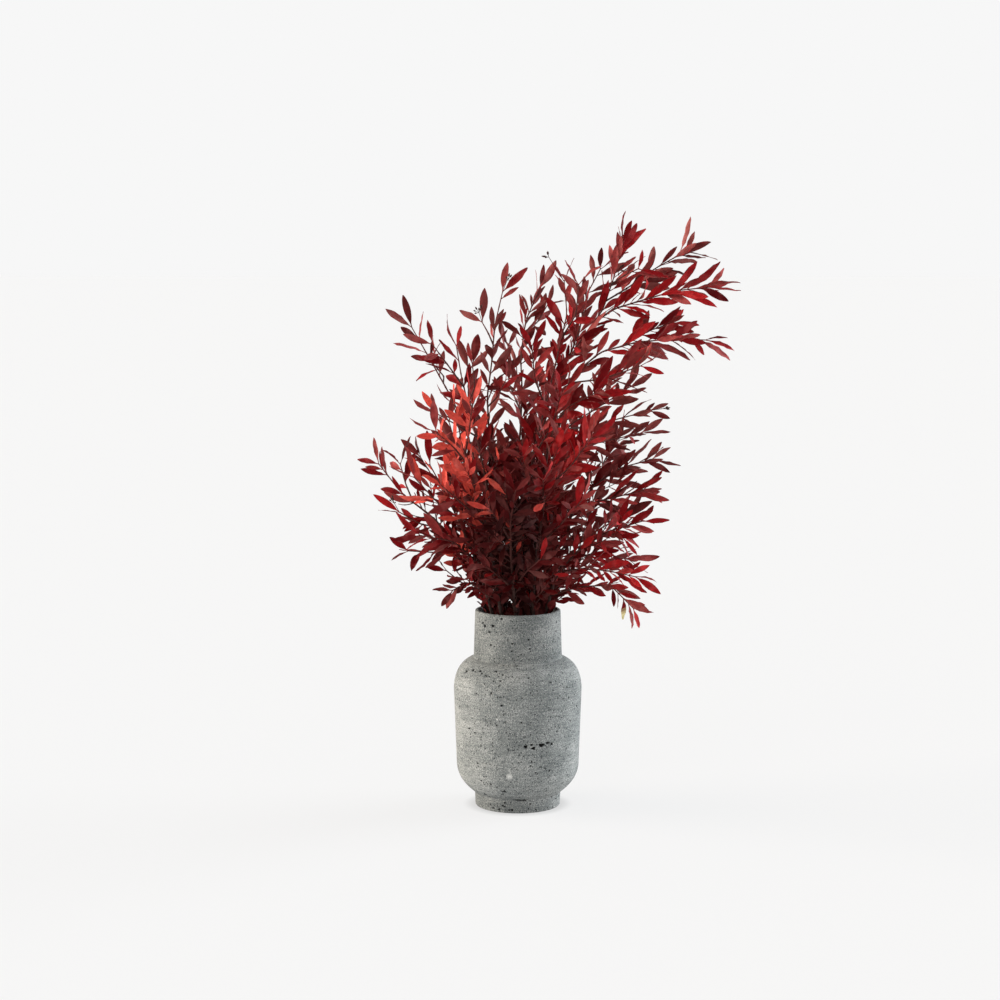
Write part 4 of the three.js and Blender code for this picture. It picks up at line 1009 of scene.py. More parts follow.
def spindle(start, end, sizes):
    """Rings of points from one place to another, with a radius at each of evenly spaced stations."""
    way = unit(end - start)
    side = unit(np.cross(way, ASLANT))
    other = np.cross(way, side)
    turn = np.arange(TWIG_SIDES) * 2 * math.pi / TWIG_SIDES
    ring = np.outer(np.cos(turn), side) + np.outer(np.sin(turn), other)
    return np.array([start + (end - start) * k / (len(sizes) - 1) + ring * size
                     for k, size in enumerate(sizes)])


def bud_cluster(number, at, limbs):
    """The twig and buds of one cluster, as rings of points, with the stem that it grows on."""
    nearest = None
    for limb in limbs:
        for along in np.arange(TWIG_LOWEST, leafy_length(limb), TWIG_SEARCH):
            place, _ = place_on(limb, along)
            x, z = as_seen(place)
            apart = math.dist((x, z), at)
            if z < at[1] and (nearest is None or apart < nearest[0]):
                nearest = (apart, limb["stem"], place)
    _, stem, foot = nearest
    nearer = 1 + foot[1] / EYE_DISTANCE
    top = np.array([at[0] * nearer, foot[1], EYE_HEIGHT + (at[1] - EYE_HEIGHT) * nearer])
    parts = [spindle(foot, top, [TWIG_RADIUS] * 4)]
    for bud in range(BUDS_A_CLUSTER):
        lean = np.array([draw(BUD_KEY + number, bud, k) - 0.5 for k in (1, 2, 3)]) * BUD_SCATTER
        way = unit(unit(top - foot) + lean)
        stalk, length, radius = (
            size * (least + spread * draw(BUD_KEY + number, bud, 4 + k))
            for k, (size, least, spread) in enumerate((BUD_STALK, BUD_LENGTH, BUD_RADIUS)))
        end = top + way * stalk
        parts.append(spindle(top, end, [BUD_STALK_RADIUS] * 3))
        sizes = [BUD_STALK_RADIUS] + [radius * part for part in BUD_PROFILE]
        parts.append(spindle(end, end + way * length, sizes))
    return stem, parts


shoots = grow_shoots(limbs)
clusters = [bud_cluster(number, at, limbs) for number, at in enumerate(BUD_CLUSTERS)]
bark_material = bark()
for stem, (name, *_) in enumerate(STEMS):
    places, faces, ages = [], [], []
    for limb in limbs + shoots:
        if limb["stem"] != stem:
            continue
        rings, centre, share = wood_tube(limb, [along for along, *_ in pairs_on(limb)])
        start = len(places)
        faces += tube_faces(len(rings), WOOD_SIDES, start)
        places += rings.reshape(-1, 3).tolist() + [centre[0].tolist(), centre[-1].tolist()]
        young = YOUNG_AT_FORK + (1 - YOUNG_AT_FORK) * share if limb["main"] else share
        ages += np.repeat(young, WOOD_SIDES).tolist() + [young[0], young[-1]]
    for rings in [rings for owner, parts in clusters if owner == stem for rings in parts]:
        faces += tube_faces(len(rings), TWIG_SIDES, len(places))
        places += rings.reshape(-1, 3).tolist() + [rings[k].mean(axis=0).tolist() for k in (0, -1)]
        ages += [BUD_AGE] * (len(rings) * TWIG_SIDES + 2)
    mesh = bpy.data.meshes.new("wood_" + name)
    mesh.from_pydata(places, [], faces)
    set_attribute(mesh, "age", "FLOAT", "POINT", ages)
    mesh.shade_smooth()
    mesh.materials.append(bark_material)
    wood_piece = bpy.data.objects.new("wood_" + name, mesh)
    bpy.context.collection.objects.link(wood_piece)
    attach(wood_piece, "root")
    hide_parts("stem_" + name)

# The leaves: small, leathery and lance-shaped, in opposite pairs that each turn a quarter from the last.
# Preserving in glycerine has kept them supple, so that they lean and turn as they grew.
LEAF_LENGTH = 0.033
PETIOLE_SHARE = 0.1
FULLNESS = 0.75
STALK_HALF_WIDTH = 0.0007
# A leaf is tried anew until its test points, on and beside its midrib, are clear of all that grew before it
TRIES = 8
MOST_LEAVES = 6000
TEST_SHARES = np.array([0.16, 0.24, 0.32, 0.4, 0.48, 0.56, 0.64, 0.72, 0.8, 0.88, 0.96])
TEST_ACROSS = np.array([-1, -0.5, 0, 0.5, 1])
END_ROOM = 0.03
BLADE_LIFT = 0.0019
BLADE_ROOM = 0.001
RIM_ROOM = 0.0016
OWN_STEM_ROOM = 0.014
WOOD_LIFT = 0.0014
NEAR_ENOUGH = 0.005
# How a leaf leaves its stem and faces the light, and how its size, width and bends are spread
BACK_FROM = 0.012
FACING_SPREAD = 3.0
FACING_UP = 0.3
PAIR_TURN = 0.95
TURN_SPREAD = 0.9
RETRY_TURN = 0.5
RETRY_SHRINK = 0.04
LEAN = 0.72
TIP_LEAN = 0.42
LEAN_SPREAD = 0.6
FACE_SPREAD = 2.2
SIZE_LEAST = 0.72
SIZE_SPREAD = 0.58
SMALLER_LOW = 0.25
SLIM = 0.225
SLIM_SPREAD = 0.07
ROUNDER_LOW = 0.13
ARCH_LEAST = -0.06
ARCH_SPREAD = 0.24
SICKLE_SPREAD = 0.2
# The solid model has every sixth pair. The others grow closer together, with some pairs in the mouth and
# some between the pairs near the tips.
KEPT_EVERY = 6
FIRST_KEPT = 3
PAIR_NUMBERS = 1000
FINE_ROOM = 0.0005
FINE_LIFT = 0.0010
FINE_WOOD_LIFT = 0.0008
FINE_TRIES = 12
FINE_SMALLER_LOW = 0.3
MOUTH_PAIRS = (-0.012, -0.006, 0.000, 0.004, 0.009, 0.013)
MOUTH_KEY = 40
MOUTH_STYLE = {"lean": 0.44, "size": 0.80, "round": 0.06}
BETWEEN_KEY = 60
BETWEEN_STYLE = {"lean": 0.48, "size": 0.86, "round": 0.02}
FEWEST_BETWEEN = 2
CLOSER_PAIRS = {"top_right": 11, "far_right": 6, "tall_right": 6, "right_high": 4, "right_low": 6,
                "front_right": 6, "front_low": 5, "tall_left": 4, "tall_middle": 4, "left_tall": 0}
# The stems on the right end in plumes: longer leaves that lie along the stem
PLUMES = ("top_right", "far_right", "right_high")
PLUME_PAIRS = 7
PLUME_STYLE = {"lean": 0.46, "size": 1.28, "round": -0.01}
# Places where leaves were lost: x and height as seen, half width, half height, share lost
SPARSE_PLACES = [
    (0.068, 0.623, 0.040, 0.042, 0.60), (-0.035, 0.594, 0.024, 0.034, 0.85),
    (-0.065, 0.531, 0.022, 0.026, 0.95), (-0.094, 0.561, 0.018, 0.018, 0.90),
    (-0.124, 0.531, 0.018, 0.016, 0.70), (-0.006, 0.531, 0.020, 0.024, 0.60),
    (0.083, 0.531, 0.022, 0.018, 0.45), (0.083, 0.591, 0.018, 0.016, 0.80),
    (-0.094, 0.482, 0.022, 0.036, 0.95), (-0.124, 0.457, 0.018, 0.016, 0.80),
    (-0.006, 0.477, 0.020, 0.020, 0.45), (0.164, 0.506, 0.028, 0.026, 0.75),
    (0.171, 0.472, 0.020, 0.012, 0.50), (0.171, 0.443, 0.020, 0.014, 0.85),
    (0.185, 0.591, 0.034, 0.014, 0.70), (0.083, 0.472, 0.018, 0.014, 0.50),
    (0.112, 0.472, 0.014, 0.014, 0.30), (0.083, 0.502, 0.016, 0.014, 0.30),
    (-0.065, 0.443, 0.018, 0.018, 0.60), (-0.142, 0.360, 0.050, 0.046, 0.60),
    (-0.103, 0.404, 0.016, 0.024, 0.65), (-0.138, 0.309, 0.036, 0.032, 0.60),
    (-0.094, 0.273, 0.022, 0.026, 0.70), (-0.094, 0.235, 0.018, 0.014, 0.90),
    (0.098, 0.368, 0.020, 0.020, 0.50), (0.112, 0.352, 0.018, 0.014, 0.50),
    (0.039, 0.297, 0.020, 0.022, 0.45), (0.142, 0.354, 0.018, 0.014, 0.60),
    (0.148, 0.290, 0.020, 0.014, 0.50), (0.157, 0.664, 0.018, 0.014, 0.50),
    (0.133, 0.640, 0.016, 0.014, 0.50), (0.110, 0.617, 0.016, 0.014, 0.50),
    (0.169, 0.581, 0.026, 0.022, 0.45), (0.228, 0.570, 0.014, 0.014, 0.50),
    (0.039, 0.640, 0.016, 0.014, 0.50), (-0.056, 0.546, 0.014, 0.014, 0.50),
    (0.110, 0.522, 0.014, 0.014, 0.60), (0.157, 0.451, 0.018, 0.016, 0.60),
    (-0.126, 0.427, 0.018, 0.016, 0.60), (0.157, 0.404, 0.016, 0.020, 0.50),
    (0.157, 0.356, 0.014, 0.016, 0.50), (-0.126, 0.332, 0.018, 0.016, 0.60),
    (0.051, 0.309, 0.022, 0.014, 0.50), (0.086, 0.332, 0.020, 0.012, 0.40),
]
REACH_ROOM = 0.002
reach_low = np.array(cad_low) - REACH_ROOM
reach_high = np.array(cad_high) + REACH_ROOM


def half_width(width, share):
    """Half the blade's width at shares of the leaf's length."""
    u = np.clip((share - PETIOLE_SHARE) / (1 - PETIOLE_SHARE), 0, 1)
    blade = np.maximum(STALK_HALF_WIDTH * (1 - u), width / 2 * np.sin(math.pi * u) ** FULLNESS)
    return np.where(share <= PETIOLE_SHARE, STALK_HALF_WIDTH, blade)


class Leaves:
    """All leaves placed so far, as growing arrays, so that a new one is tested against many at once."""
    FIELDS = {"base": 3, "way": 3, "face": 3, "side": 3, "length": 1, "width": 1, "arch": 1, "sickle": 1,
              "centre": 3, "pair": 1}

    def __init__(self, room=MOST_LEAVES):
        self.count = 0
        self.data = {name: np.zeros((room, size)) for name, size in self.FIELDS.items()}
        self.tests = np.zeros((room, len(TEST_SHARES) * len(TEST_ACROSS), 3))
        self.list = []

    def add(self, leaf):
        for name in self.FIELDS:
            self.data[name][self.count] = leaf[name]
        self.tests[self.count] = leaf["tests"]
        self.list.append(leaf)
        self.count += 1


def midrib(leaf, share):
    """The midrib's points: it arches back and sickles a little."""
    share = np.asarray(share)[..., None]
    curve = share * share * leaf["length"]
    return (leaf["base"] + leaf["way"] * leaf["length"] * share - leaf["face"] * leaf["arch"] * curve
            + leaf["side"] * leaf["sickle"] * curve)


def in_blades(points, base, way, face, side, length, width, arch, sickle, room, lift):
    """Whether points (m, n, 3) are in the blades (m, ...), with some room round them."""
    off = points - base[:, None]
    share = np.einsum("mnk,mk->mn", off, way) / length
    inside = (share >= END_ROOM) & (share <= 1 + END_ROOM)
    held = np.minimum(share, 1)
    curve = held * held * length
    off = (off - way[:, None] * (held * length)[..., None]
           + face[:, None] * (arch * curve)[..., None] - side[:, None] * (sickle * curve)[..., None])
    inside &= np.abs(np.einsum("mnk,mk->mn", off, face)) < lift
    return inside & (np.abs(np.einsum("mnk,mk->mn", off, side)) < half_width(width, held) + room)


def leaf_fits(leaf, leaves, wood, room=BLADE_ROOM, lift=BLADE_LIFT, wood_lift=WOOD_LIFT):
    """Leaves keep off the vase's neck and rim, other leaves, and every limb but their own."""
    points = leaf["tests"]
    r = np.hypot(points[:, 0], points[:, 1])
    over_rim = (r > MOUTH_RADIUS - RIM_ROOM) & (r < NECK_BASE[0] + RIM_ROOM)
    by_rim = over_rim & (points[:, 2] < VASE_HEIGHT + RIM_ROOM)
    if by_rim.any() or (points < reach_low).any() or (points > reach_high).any():
        return False
    n = leaves.count
    data = {name: values[:n] for name, values in leaves.data.items()}
    reach = (leaf["length"] + data["length"][:, 0]) / 2 + NEAR_ENOUGH
    near = np.linalg.norm(data["centre"] - leaf["centre"], axis=1) <= reach
    near &= data["pair"][:, 0] != leaf["pair"]
    near = np.flatnonzero(near)
    blade = ("base", "way", "face", "side", "length", "width", "arch", "sickle")
    own = [np.reshape(leaf[name], (1, -1)) for name in blade]
    if len(near):
        many = np.broadcast_to(points, (len(near), *points.shape))
        theirs = [data[name][near] for name in blade]
        if in_blades(many, *theirs, room, lift).any():
            return False
        if in_blades(leaves.tests[near].reshape(1, -1, 3), *own, room, lift).any():
            return False
    close = np.linalg.norm(wood["points"] - leaf["centre"], axis=1) <= leaf["length"] / 2 + NEAR_ENOUGH
    close &= wood["limb"] != leaf["limb_index"]
    from_base = np.linalg.norm(wood["points"] - leaf["base"], axis=1)
    close &= ~((wood["stem"] == leaf["stem"]) & (from_base < OWN_STEM_ROOM))
    if not close.any():
        return True
    radius = wood["radius"][close][None]
    return not in_blades(wood["points"][close][None], *own, radius + room, radius + wood_lift).any()


def points_on_limbs(limbs):
    """Points every few millimetres along all limbs, for keeping leaves off them."""
    points, radius, index, stem = [], [], [], []
    for number, limb in enumerate(limbs):
        length = leafy_length(limb)
        count = math.ceil(length / WOOD_POINT_SPACING)
        for k in range(count + 1):
            points.append(place_on(limb, length * k / count)[0])
            radius.append(limb_radius(limb, k / count))
            index.append(number)
            stem.append(limb["stem"])
    return {"points": np.array(points), "radius": np.array(radius), "limb": np.array(index),
            "stem": np.array(stem)}


def draw_leaf(limb, number, pair, side, attempt, place, low, style=None):
    """One leaf of a pair, drawn anew on each try, as the solid model draws it."""
    def key(which):
        return draw(limb["stem"], limb["spray"], pair, side, attempt, which)

    def spread(which, width):
        return (key(which) - 0.5) * width

    base, axis = place
    facing = np.array([base[0] * FACING_SPREAD, 1.0 if base[1] > BACK_FROM else -1.0, FACING_UP])
    quarter = (0, PAIR_TURN, 0, -PAIR_TURN)[pair % 4]
    swing = quarter + (draw(limb["stem"], limb["spray"], pair, 9) - 0.5) * TURN_SPREAD + side * math.pi
    out = turned(unit(np.cross(axis, facing)), axis, swing + spread(0, RETRY_TURN * attempt))
    style = style or {"lean": TIP_LEAN if pair == 0 else LEAN, "size": 1, "round": 0}
    lean = style["lean"] + spread(1, LEAN_SPREAD)
    way = axis * math.cos(lean) + out * math.sin(lean)
    wish = unit(facing) + [spread(2, FACE_SPREAD), spread(3, FACE_SPREAD), spread(4, FACE_SPREAD)]
    face = unit(wish - way * wish.dot(way))
    size = (SIZE_LEAST + SIZE_SPREAD * key(5)) * (1 - SMALLER_LOW * low) * style["size"]
    size *= limb.get("leaf_size", 1)
    length = LEAF_LENGTH * size * (1 - RETRY_SHRINK * attempt)
    return finished({
        "base": base, "way": way, "face": face, "side": np.cross(way, face), "length": length,
        "width": length * (SLIM + SLIM_SPREAD * key(6) + ROUNDER_LOW * low + style["round"]),
        "arch": ARCH_LEAST + ARCH_SPREAD * key(7), "sickle": spread(8, SICKLE_SPREAD),
        "stem": limb["stem"], "limb_index": number, "pair": number * PAIR_NUMBERS + pair,
        "random": key(11)})


def finished(leaf):
    """A leaf with its middle and its test points worked out."""
    middle = midrib(leaf, TEST_SHARES)
    half = half_width(leaf["width"], TEST_SHARES)
    across = (half[:, None] * TEST_ACROSS)[..., None]
    leaf["tests"] = (middle[:, None] + leaf["side"] * across).reshape(-1, 3)
    leaf["centre"] = midrib(leaf, 0.5)
    return leaf


def more_pairs(limb, pairs):
    """Pairs that only the finer foliage has: in the neck and mouth, and between the others near the tips."""
    more = []
    if not limb["main"]:
        for k, along in enumerate(MOUTH_PAIRS):
            more.append((MOUTH_KEY + k, place_on(limb, along), 1.0, MOUTH_STYLE))
    if "radii" not in limb:
        closer = CLOSER_PAIRS.get(STEMS[limb["stem"]][0], FEWEST_BETWEEN)
        for k in range(min(closer, len(pairs) - 1)):
            along = (pairs[k][0] + pairs[k + 1][0]) / 2
            style = PLUME_STYLE if STEMS[limb["stem"]][0] in PLUMES else BETWEEN_STYLE
            more.append((BETWEEN_KEY + k, place_on(limb, along), pairs[k][2], style))
    return more


def thinned(leaf, chance):
    """Whether a leaf was lost, as more are in the sparser places."""
    x, z = as_seen(leaf["centre"])
    return any(chance < share and ((x - at_x) / half_x) ** 2 + ((z - at_z) / half_z) ** 2 < 1
               for at_x, at_z, half_x, half_z, share in SPARSE_PLACES)


def grow_leaves(limbs, shoots):
    """First the leaves that the solid model has, in its order, and then all the others, more closely."""
    leaves = Leaves()
    closer = {"room": FINE_ROOM, "lift": FINE_LIFT, "wood_lift": FINE_WOOD_LIFT}
    for finer, rooms in ((False, {}), (True, closer)):
        growing = limbs + shoots if finer else limbs
        wood = points_on_limbs(growing)
        for number, limb in enumerate(growing):
            pairs = pairs_on(limb)
            chosen = []
            for pair, (_, place, low) in enumerate(pairs):
                lowest = not limb["main"] and pair == len(pairs) - 1
                solid = number < len(limbs) and (pair == 0 or pair % KEPT_EVERY == FIRST_KEPT or lowest)
                if solid != finer:
                    plume = (finer and "radii" not in limb and pair < PLUME_PAIRS
                             and STEMS[limb["stem"]][0] in PLUMES)
                    smaller = {"lean": LEAN, "size": 1 - FINE_SMALLER_LOW * low, "round": 0}
                    chosen.append((pair, place, low, PLUME_STYLE if plume else smaller if finer else None))
            if finer:
                chosen += more_pairs(limb, pairs)
            for pair, place, low, style in chosen:
                for side in range(2):
                    for attempt in range(FINE_TRIES if finer else TRIES):
                        leaf = draw_leaf(limb, number, pair, side, attempt, place, low, style)
                        if leaf_fits(leaf, leaves, wood, **rooms):
                            chance = draw(limb["stem"], limb["spray"], pair, side, 12)
                            if not finer or not thinned(leaf, chance):
                                leaves.add(leaf)
                            break
    return leaves


leaves = grow_leaves(limbs, shoots)

# The blades: thin and leathery on a short round stalk, with a keeled midrib below and a groove above. Drying
# has folded, twisted and curled them a little, and waved their edges.
# Rings of points lie at these shares of the length. Each has its edges at its first and fifth points, its
# groove at the third and its keel at the seventh.
BLADE_STATIONS = np.array([0, 0.075, 0.145, 0.23, 0.34, 0.46, 0.59, 0.72, 0.84, 0.93, 0.983])
RING_ACROSS = np.array([1, 0.55, 0, -0.55, -1, -0.55, 0, 0.55])
RING_THICK = np.array([0, 0.8, 1, 0.8, 0, -0.8, -1, -0.8])
GROOVE, FAR_EDGE, KEEL = 2, 4, 6
BLADE_HALF_THICK = 0.00020
STALK_HALF_THICK = 0.00050
MIDRIB_DEPTH = 0.00028
GROOVE_DEPTH = 0.00008
STALK_ROUNDING = 0.00062
WIDEST_LATE = 1.1
BLADE_FULLNESS = 0.72
BLADE_SLIM = 0.92
STALK_TAPER = (1.15, 1.2, 0.15)
STALK_UNTIL = 0.05
STALK_FADE = 0.16
TIP_THINNING = (1.6, 1.02, 0.25)
TWIST_SPREAD = 0.9
TWIST_FROM = 0.1
FOLD_LEAST = 0.04
FOLD_SPREAD = 0.34
FOLD_OPENING = 0.4
WAVE_HEIGHT = 0.055
WAVES_LEAST = 1.5
WAVES_SPREAD = 2
CURL = 0.08
CURL_BACKWARD = 0.35
CURL_FROM = 0.45
CURL_STEEPNESS = 6
CURL_BEYOND = 1.1
KEEL_FADE = 1.1


def blade_mesh(leaf):
    """One blade's points, and for each its length along in mm, distance across in mm and the leaf's draw."""
    def key(which):
        return (leaf["random"] * (317 + 61 * which)) % 1

    def waved(one, other):
        waves = (WAVES_LEAST + WAVES_SPREAD * key(one)) * share + key(other)
        return WAVE_HEIGHT * (1 - stalk) * np.sin(2 * math.pi * waves)

    share = BLADE_STATIONS
    u = np.clip((share - PETIOLE_SHARE) / (1 - PETIOLE_SHARE), 0, 1)
    full = BLADE_SLIM * leaf["width"] / 2 * np.sin(math.pi * u ** WIDEST_LATE) ** BLADE_FULLNESS
    most, slope, least = STALK_TAPER
    half = np.maximum(full, STALK_ROUNDING * np.clip(most - share * slope, least, 1))
    stalk = np.clip(1 - (share - STALK_UNTIL) / STALK_FADE, 0, 1)
    stalk = stalk * stalk * (3 - 2 * stalk)
    thick = BLADE_HALF_THICK + (STALK_HALF_THICK - BLADE_HALF_THICK) * stalk
    slope, end, least = TIP_THINNING
    thick = thick * np.clip(slope * (end - share), least, 1)
    twist = (key(1) - 0.5) * TWIST_SPREAD * np.clip(share - TWIST_FROM, 0, 1)
    fold = (FOLD_LEAST + FOLD_SPREAD * key(2)) * (1 - stalk) * (1 - FOLD_OPENING * share)
    curl = (key(7) - CURL_BACKWARD) * CURL * leaf["length"] * np.clip(share - CURL_FROM, 0, 1) ** 2
    curl = curl * CURL_STEEPNESS
    middle = midrib(leaf, share) - leaf["face"] * curl[:, None]
    side = np.outer(np.cos(twist), leaf["side"]) + np.outer(np.sin(twist), leaf["face"])
    face = np.outer(np.cos(twist), leaf["face"]) - np.outer(np.sin(twist), leaf["side"])
    across = RING_ACROSS[None] * half[:, None]
    ripple = np.where(RING_ACROSS[None] > 0, waved(3, 4)[:, None], waved(5, 6)[:, None]) * leaf["width"]
    lift = np.abs(across) * fold[:, None] + ripple * RING_ACROSS[None] ** 2
    lift = lift + thick[:, None] * RING_THICK
    lift[:, GROOVE] -= GROOVE_DEPTH * (1 - stalk)
    lift[:, KEEL] -= MIDRIB_DEPTH * (1 - stalk) * np.clip(KEEL_FADE - share, 0, 1)
    points = middle[:, None] + side[:, None] * across[..., None] + face[:, None] * lift[..., None]
    tip = midrib(leaf, 1.0) - leaf["face"] * curl[-1] * CURL_BEYOND
    places = np.vstack([points.reshape(-1, 3), [middle[0]], [tip]])
    length_mm = leaf["length"] * 1000
    blade = np.zeros((len(places), 3))
    blade[:-2, 0] = np.repeat(share, len(RING_ACROSS)) * length_mm
    blade[:-2, 1] = (across * 1000).ravel()
    blade[-1, 0] = length_mm
    blade[:, 2] = leaf["random"]
    return places, blade


# The dye: deep red on the upper face and browner on the underside, and dusty on some leaves. Painted light
# brightens the sprays at the front, and painted shade makes the core of the bunch nearly black red.
UPPER_DEEP = np.array(linear("#5e060c")[:3])
UPPER_CLEAR = np.array(linear("#901217")[:3])
UPPER_DUSTY = np.array(linear("#8e3a38")[:3])
UNDER_DEEP = np.array(linear("#591516")[:3])
UNDER_DUSTY = np.array(linear("#85403d")[:3])
ORANGE = np.array(linear("#dd5446")[:3])
SCARLET = np.array(linear("#a01a1c")[:3])
# painted shade: the near black reds of the core of the bunch
CORE_PAINTED_SHADE_UPPER = np.array(linear("#2a0606")[:3])
CORE_PAINTED_SHADE_UNDER = np.array(linear("#391413")[:3])
# Painted light: where the sprays turned to the front catch the light, their leaves are given brighter
# colours: x, height, half width, half height, share and colour. The last is the whole bunch, with a bright
# leaf here and there.
PAINTED_LIGHT_PLACES = [
    (-0.066, 0.426, 0.038, 0.068, 1.10, ORANGE), (0.060, 0.420, 0.042, 0.042, 0.50, SCARLET),
    (0.125, 0.366, 0.034, 0.024, 0.50, SCARLET), (0.110, 0.285, 0.045, 0.030, 0.35, SCARLET),
    (-0.130, 0.400, 0.040, 0.060, 0.12, SCARLET), (0.150, 0.600, 0.090, 0.070, 0.25, SCARLET),
    (0, 0.4, 1, 1, 0.03, SCARLET),
]
BRIGHT_BEHIND = 0.02
BRIGHT_DEPTH = 0.08
BRIGHT_LEAST = 0.5
BRIGHT_UNDER = 0.55
BRIGHT_SHADE = 0.3
# Painted shade at the core of the bunch, where the light hardly reaches: x, height, half width, half height
PAINTED_SHADE_PLACES = [(-0.006, 0.315, 0.066, 0.110), (0.0, 0.248, 0.064, 0.036)]
SHADE_LEAST = 0.85
SHADE_SPREAD = 0.4
DUSTY_LEAVES = 0.4
DUSTY_LEAST = 0.4
LEVEL_LEAST = 0.74
LEVEL_SPREAD = 0.44
VEIN_SPACING_MM = 1.6


def mixed_colour(one, other, share):
    """One colour, turned towards another by a share."""
    return one + (other - one) * share


def leaf_dye(leaf):
    """Upper and lower colour of one leaf, with painted light and shade from where it grows in the bunch."""
    def key(which):
        return (leaf["random"] * (911 + 137 * which)) % 1

    x, z = as_seen(leaf["centre"])

    def near(at_x, at_z, half_x, half_z):
        return math.exp(-((x - at_x) / half_x) ** 2 - ((z - at_z) / half_z) ** 2)

    upper = mixed_colour(UPPER_DEEP, UPPER_CLEAR, key(1))
    if key(2) < DUSTY_LEAVES:
        upper = mixed_colour(upper, UPPER_DUSTY, DUSTY_LEAST + (1 - DUSTY_LEAST) * key(3))
    under = mixed_colour(UNDER_DEEP, UNDER_DUSTY, key(6))
    # painted shade, strongest at the core of the bunch
    inside = max(near(*place) for place in PAINTED_SHADE_PLACES)
    shade = min(1.0, inside * (SHADE_LEAST + SHADE_SPREAD * key(7)))
    # the painted light reaches only the leaves towards the front
    forward = min(max((BRIGHT_BEHIND - leaf["centre"][1]) / BRIGHT_DEPTH, 0), 1)
    for *place, share, colour in PAINTED_LIGHT_PLACES:
        if key(4) < share * near(*place) * forward:
            upper = mixed_colour(UPPER_CLEAR, colour, BRIGHT_LEAST + (1 - BRIGHT_LEAST) * key(5))
            under = mixed_colour(under, colour, BRIGHT_UNDER)
            shade *= BRIGHT_SHADE
            break
    upper = mixed_colour(upper, CORE_PAINTED_SHADE_UPPER, shade)
    under = mixed_colour(under, CORE_PAINTED_SHADE_UNDER, shade)
    level = LEVEL_LEAST + LEVEL_SPREAD * key(8)
    return np.clip(upper * level, 0, 1), np.clip(under * level, 0, 1)


def dyed_leaf():
    """Glycerine-kept leaf, dyed through: matt, with fine veins, an uneven dye and a painted sheen."""
    material, tree, output = new_material("glycerined dyed leaf")
    dye = add_node(tree, "Attribute", {"attribute_name": "dye"})
    blade = add_node(tree, "Attribute", {"attribute_name": "blade"})
    parts = add_node(tree, "SeparateXYZ", inputs={0: blade.outputs["Vector"]})
    out = add_node(tree, "Math", {"operation": "ABSOLUTE"}, {0: parts.outputs[1]})
    # the midrib's line, 0.5 mm wide
    rib = add_node(tree, "MapRange", inputs={0: out.outputs[0], 1: 0.15, 2: 0.45, 3: 1.0, 4: 0.0})
    # side veins that leave the midrib at about 40 degrees
    slant = add_node(tree, "Math", {"operation": "MULTIPLY_ADD"}, {
        0: out.outputs[0], 1: -1.2, 2: parts.outputs[0]})
    beat = add_node(tree, "Math", {"operation": "MULTIPLY"}, {
        0: slant.outputs[0], 1: 2 * math.pi / VEIN_SPACING_MM})
    veins = add_node(tree, "Math", {"operation": "SINE"}, {0: beat.outputs[0]})
    place = add_node(tree, "TexCoord").outputs["Object"]
    # uneven dye in patches 4 to 8 mm across
    patches = add_node(tree, "TexNoise", inputs={"Vector": place, "Scale": 170.0, "Detail": 3.0})
    level = add_node(tree, "MapRange", inputs={0: patches.outputs["Fac"], 1: 0.3, 2: 0.7, 3: 0.78, 4: 1.2})
    level = add_node(tree, "Math", {"operation": "MULTIPLY_ADD"}, {
        0: veins.outputs[0], 1: 0.045, 2: level.outputs[0]})
    level = add_node(tree, "Math", {"operation": "MULTIPLY_ADD"}, {
        0: rib.outputs[0], 1: -0.16, 2: level.outputs[0]})
    colour = add_node(tree, "VectorMath", {"operation": "SCALE"}, {0: dye.outputs["Color"]})
    tree.links.new(level.outputs[0], colour.inputs["Scale"])
    # painted sheen: a paler, pinker colour in areas 10 to 20 mm across, stronger on one half of a blade,
    # stands in for light the blade reflects
    drift = add_node(tree, "TexNoise", inputs={"Vector": place, "Scale": 70.0, "Detail": 1.0})
    painted_sheen_mask = add_node(tree, "Math", {"operation": "MULTIPLY_ADD"}, {
        0: parts.outputs[1], 1: 0.025, 2: drift.outputs["Fac"]})
    painted_sheen_mask = add_node(tree, "Math", {"operation": "MULTIPLY_ADD"}, {
        0: parts.outputs[2], 1: 0.34, 2: painted_sheen_mask.outputs[0]})
    painted_sheen_share = add_node(tree, "MapRange", {"interpolation_type": "SMOOTHSTEP"}, {
        0: painted_sheen_mask.outputs[0], 1: 0.66, 2: 0.88, 3: 0.0, 4: 0.85})
    dusty = add_node(tree, "VectorMath", {"operation": "MULTIPLY_ADD"}, {
        0: colour.outputs[0], 1: (1.28, 1.6, 1.6), 2: (0.040, 0.018, 0.016)})
    colour = add_node(tree, "Mix", {"data_type": "RGBA"}, {
        "Factor": painted_sheen_share.outputs[0], "A": colour.outputs[0], "B": dusty.outputs[0]})
    bump = add_node(tree, "Bump", inputs={"Strength": 0.2, "Distance": 0.0001, "Height": veins.outputs[0]})
    shader = add_node(tree, "BsdfPrincipled", inputs={
        "Base Color": colour.outputs["Result"], "Roughness": 0.6, "Specular IOR Level": 0.06,
        "Normal": bump.outputs[0]})
    tree.links.new(shader.outputs[0], output.inputs[0])
    return material


leaf_material = dyed_leaf()
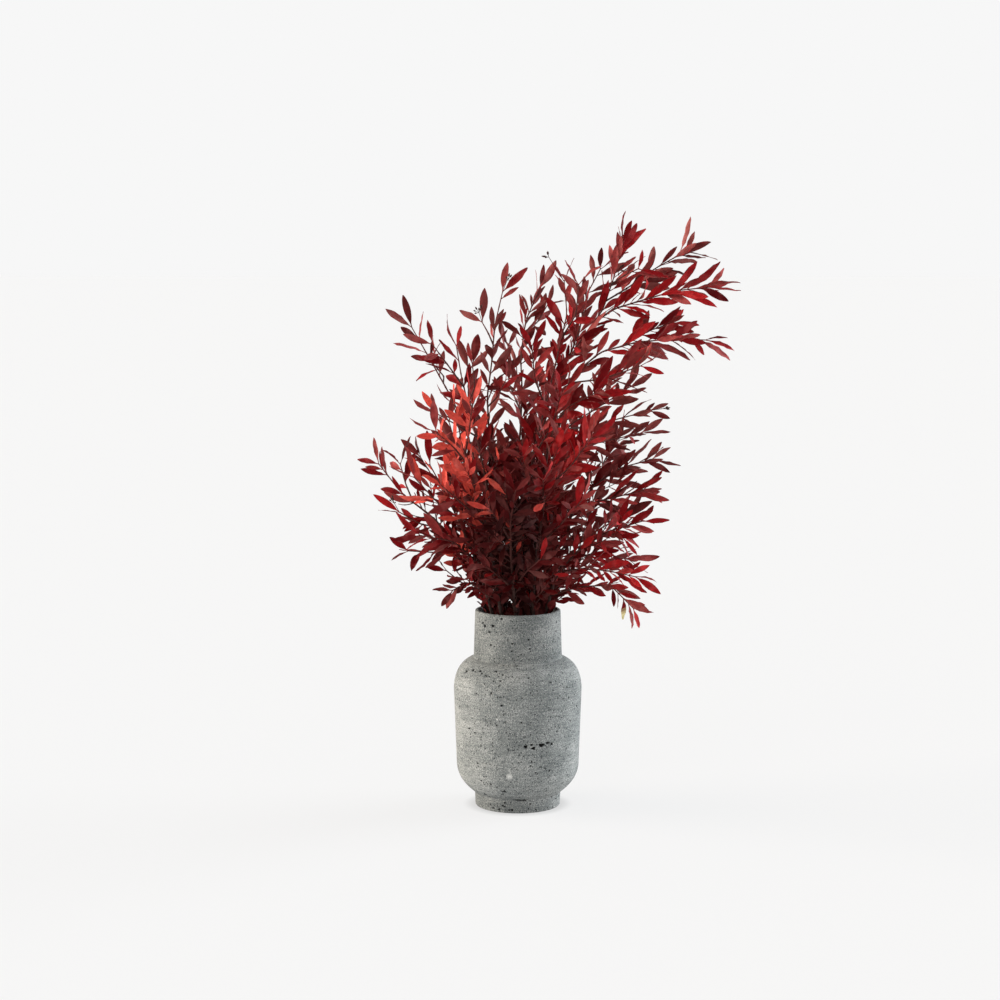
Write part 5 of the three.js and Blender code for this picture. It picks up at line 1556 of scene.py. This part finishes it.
# One low leaf at the right kept a pale, undyed end, which fades in over three rows of faces
PALE = np.array(linear("#d2c792")[:3])
PALE_TIP_AT = (0.129, 0.234)
PALE_FROM_ROW = 4
PALE_ROWS = 3
PALE_MOST = 0.9
pale_leaf = min(leaves.list, key=lambda leaf: math.dist(as_seen(midrib(leaf, 0.9)), PALE_TIP_AT))
# The faces of one blade, the row that each lies in, and whether it is on the underside
ring = len(RING_ACROSS)
rows = len(BLADE_STATIONS)
one_faces = tube_faces(rows, ring, 0)
under_row = np.array([1.0 if k >= FAR_EDGE else 0.0 for k in range(ring)])
one_row = np.concatenate([np.repeat(np.arange(rows - 1), ring), np.zeros(ring), np.full(ring, rows)])
one_under = np.concatenate([np.tile(under_row, rows - 1), under_row, under_row])
for stem, (name, *_) in enumerate(STEMS):
    places, faces, blades, dyes = [], [], [], []
    for leaf in leaves.list:
        if leaf["stem"] != stem:
            continue
        points, blade = blade_mesh(leaf)
        start = sum(len(p) for p in places)
        places.append(points)
        blades.append(blade)
        faces += [tuple(start + k for k in face) for face in one_faces]
        upper, under = leaf_dye(leaf)
        dye = np.where(one_under[:, None] > 0, under, upper)
        if leaf is pale_leaf:
            share = np.clip((one_row - PALE_FROM_ROW) / PALE_ROWS, 0, PALE_MOST)[:, None]
            dye = mixed_colour(dye, PALE, share)
        dyes.append(np.hstack([dye, np.ones((len(dye), 1))]))
    mesh = bpy.data.meshes.new("leaves_" + name)
    mesh.from_pydata(np.vstack(places).tolist(), [], faces)
    set_attribute(mesh, "blade", "FLOAT_VECTOR", "POINT", np.vstack(blades))
    set_attribute(mesh, "dye", "FLOAT_COLOR", "FACE", np.vstack(dyes))
    # the edges of a blade are sharp, from its stalk to its tip
    ends = np.empty(len(mesh.edges) * 2, int)
    mesh.edges.foreach_get("vertices", ends)
    local = ends.reshape(-1, 2) % (rows * ring + 2)
    rim = ((local % ring == 0) | (local % ring == FAR_EDGE)) & (local < rows * ring)
    rim |= local == rows * ring + 1
    set_attribute(mesh, "sharp_edge", "BOOLEAN", "EDGE", rim.all(axis=1))
    mesh.shade_smooth()
    mesh.materials.append(leaf_material)
    leaf_piece = bpy.data.objects.new("leaves_" + name, mesh)
    bpy.context.collection.objects.link(leaf_piece)
    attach(leaf_piece, "root")
    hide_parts("stem_" + name)
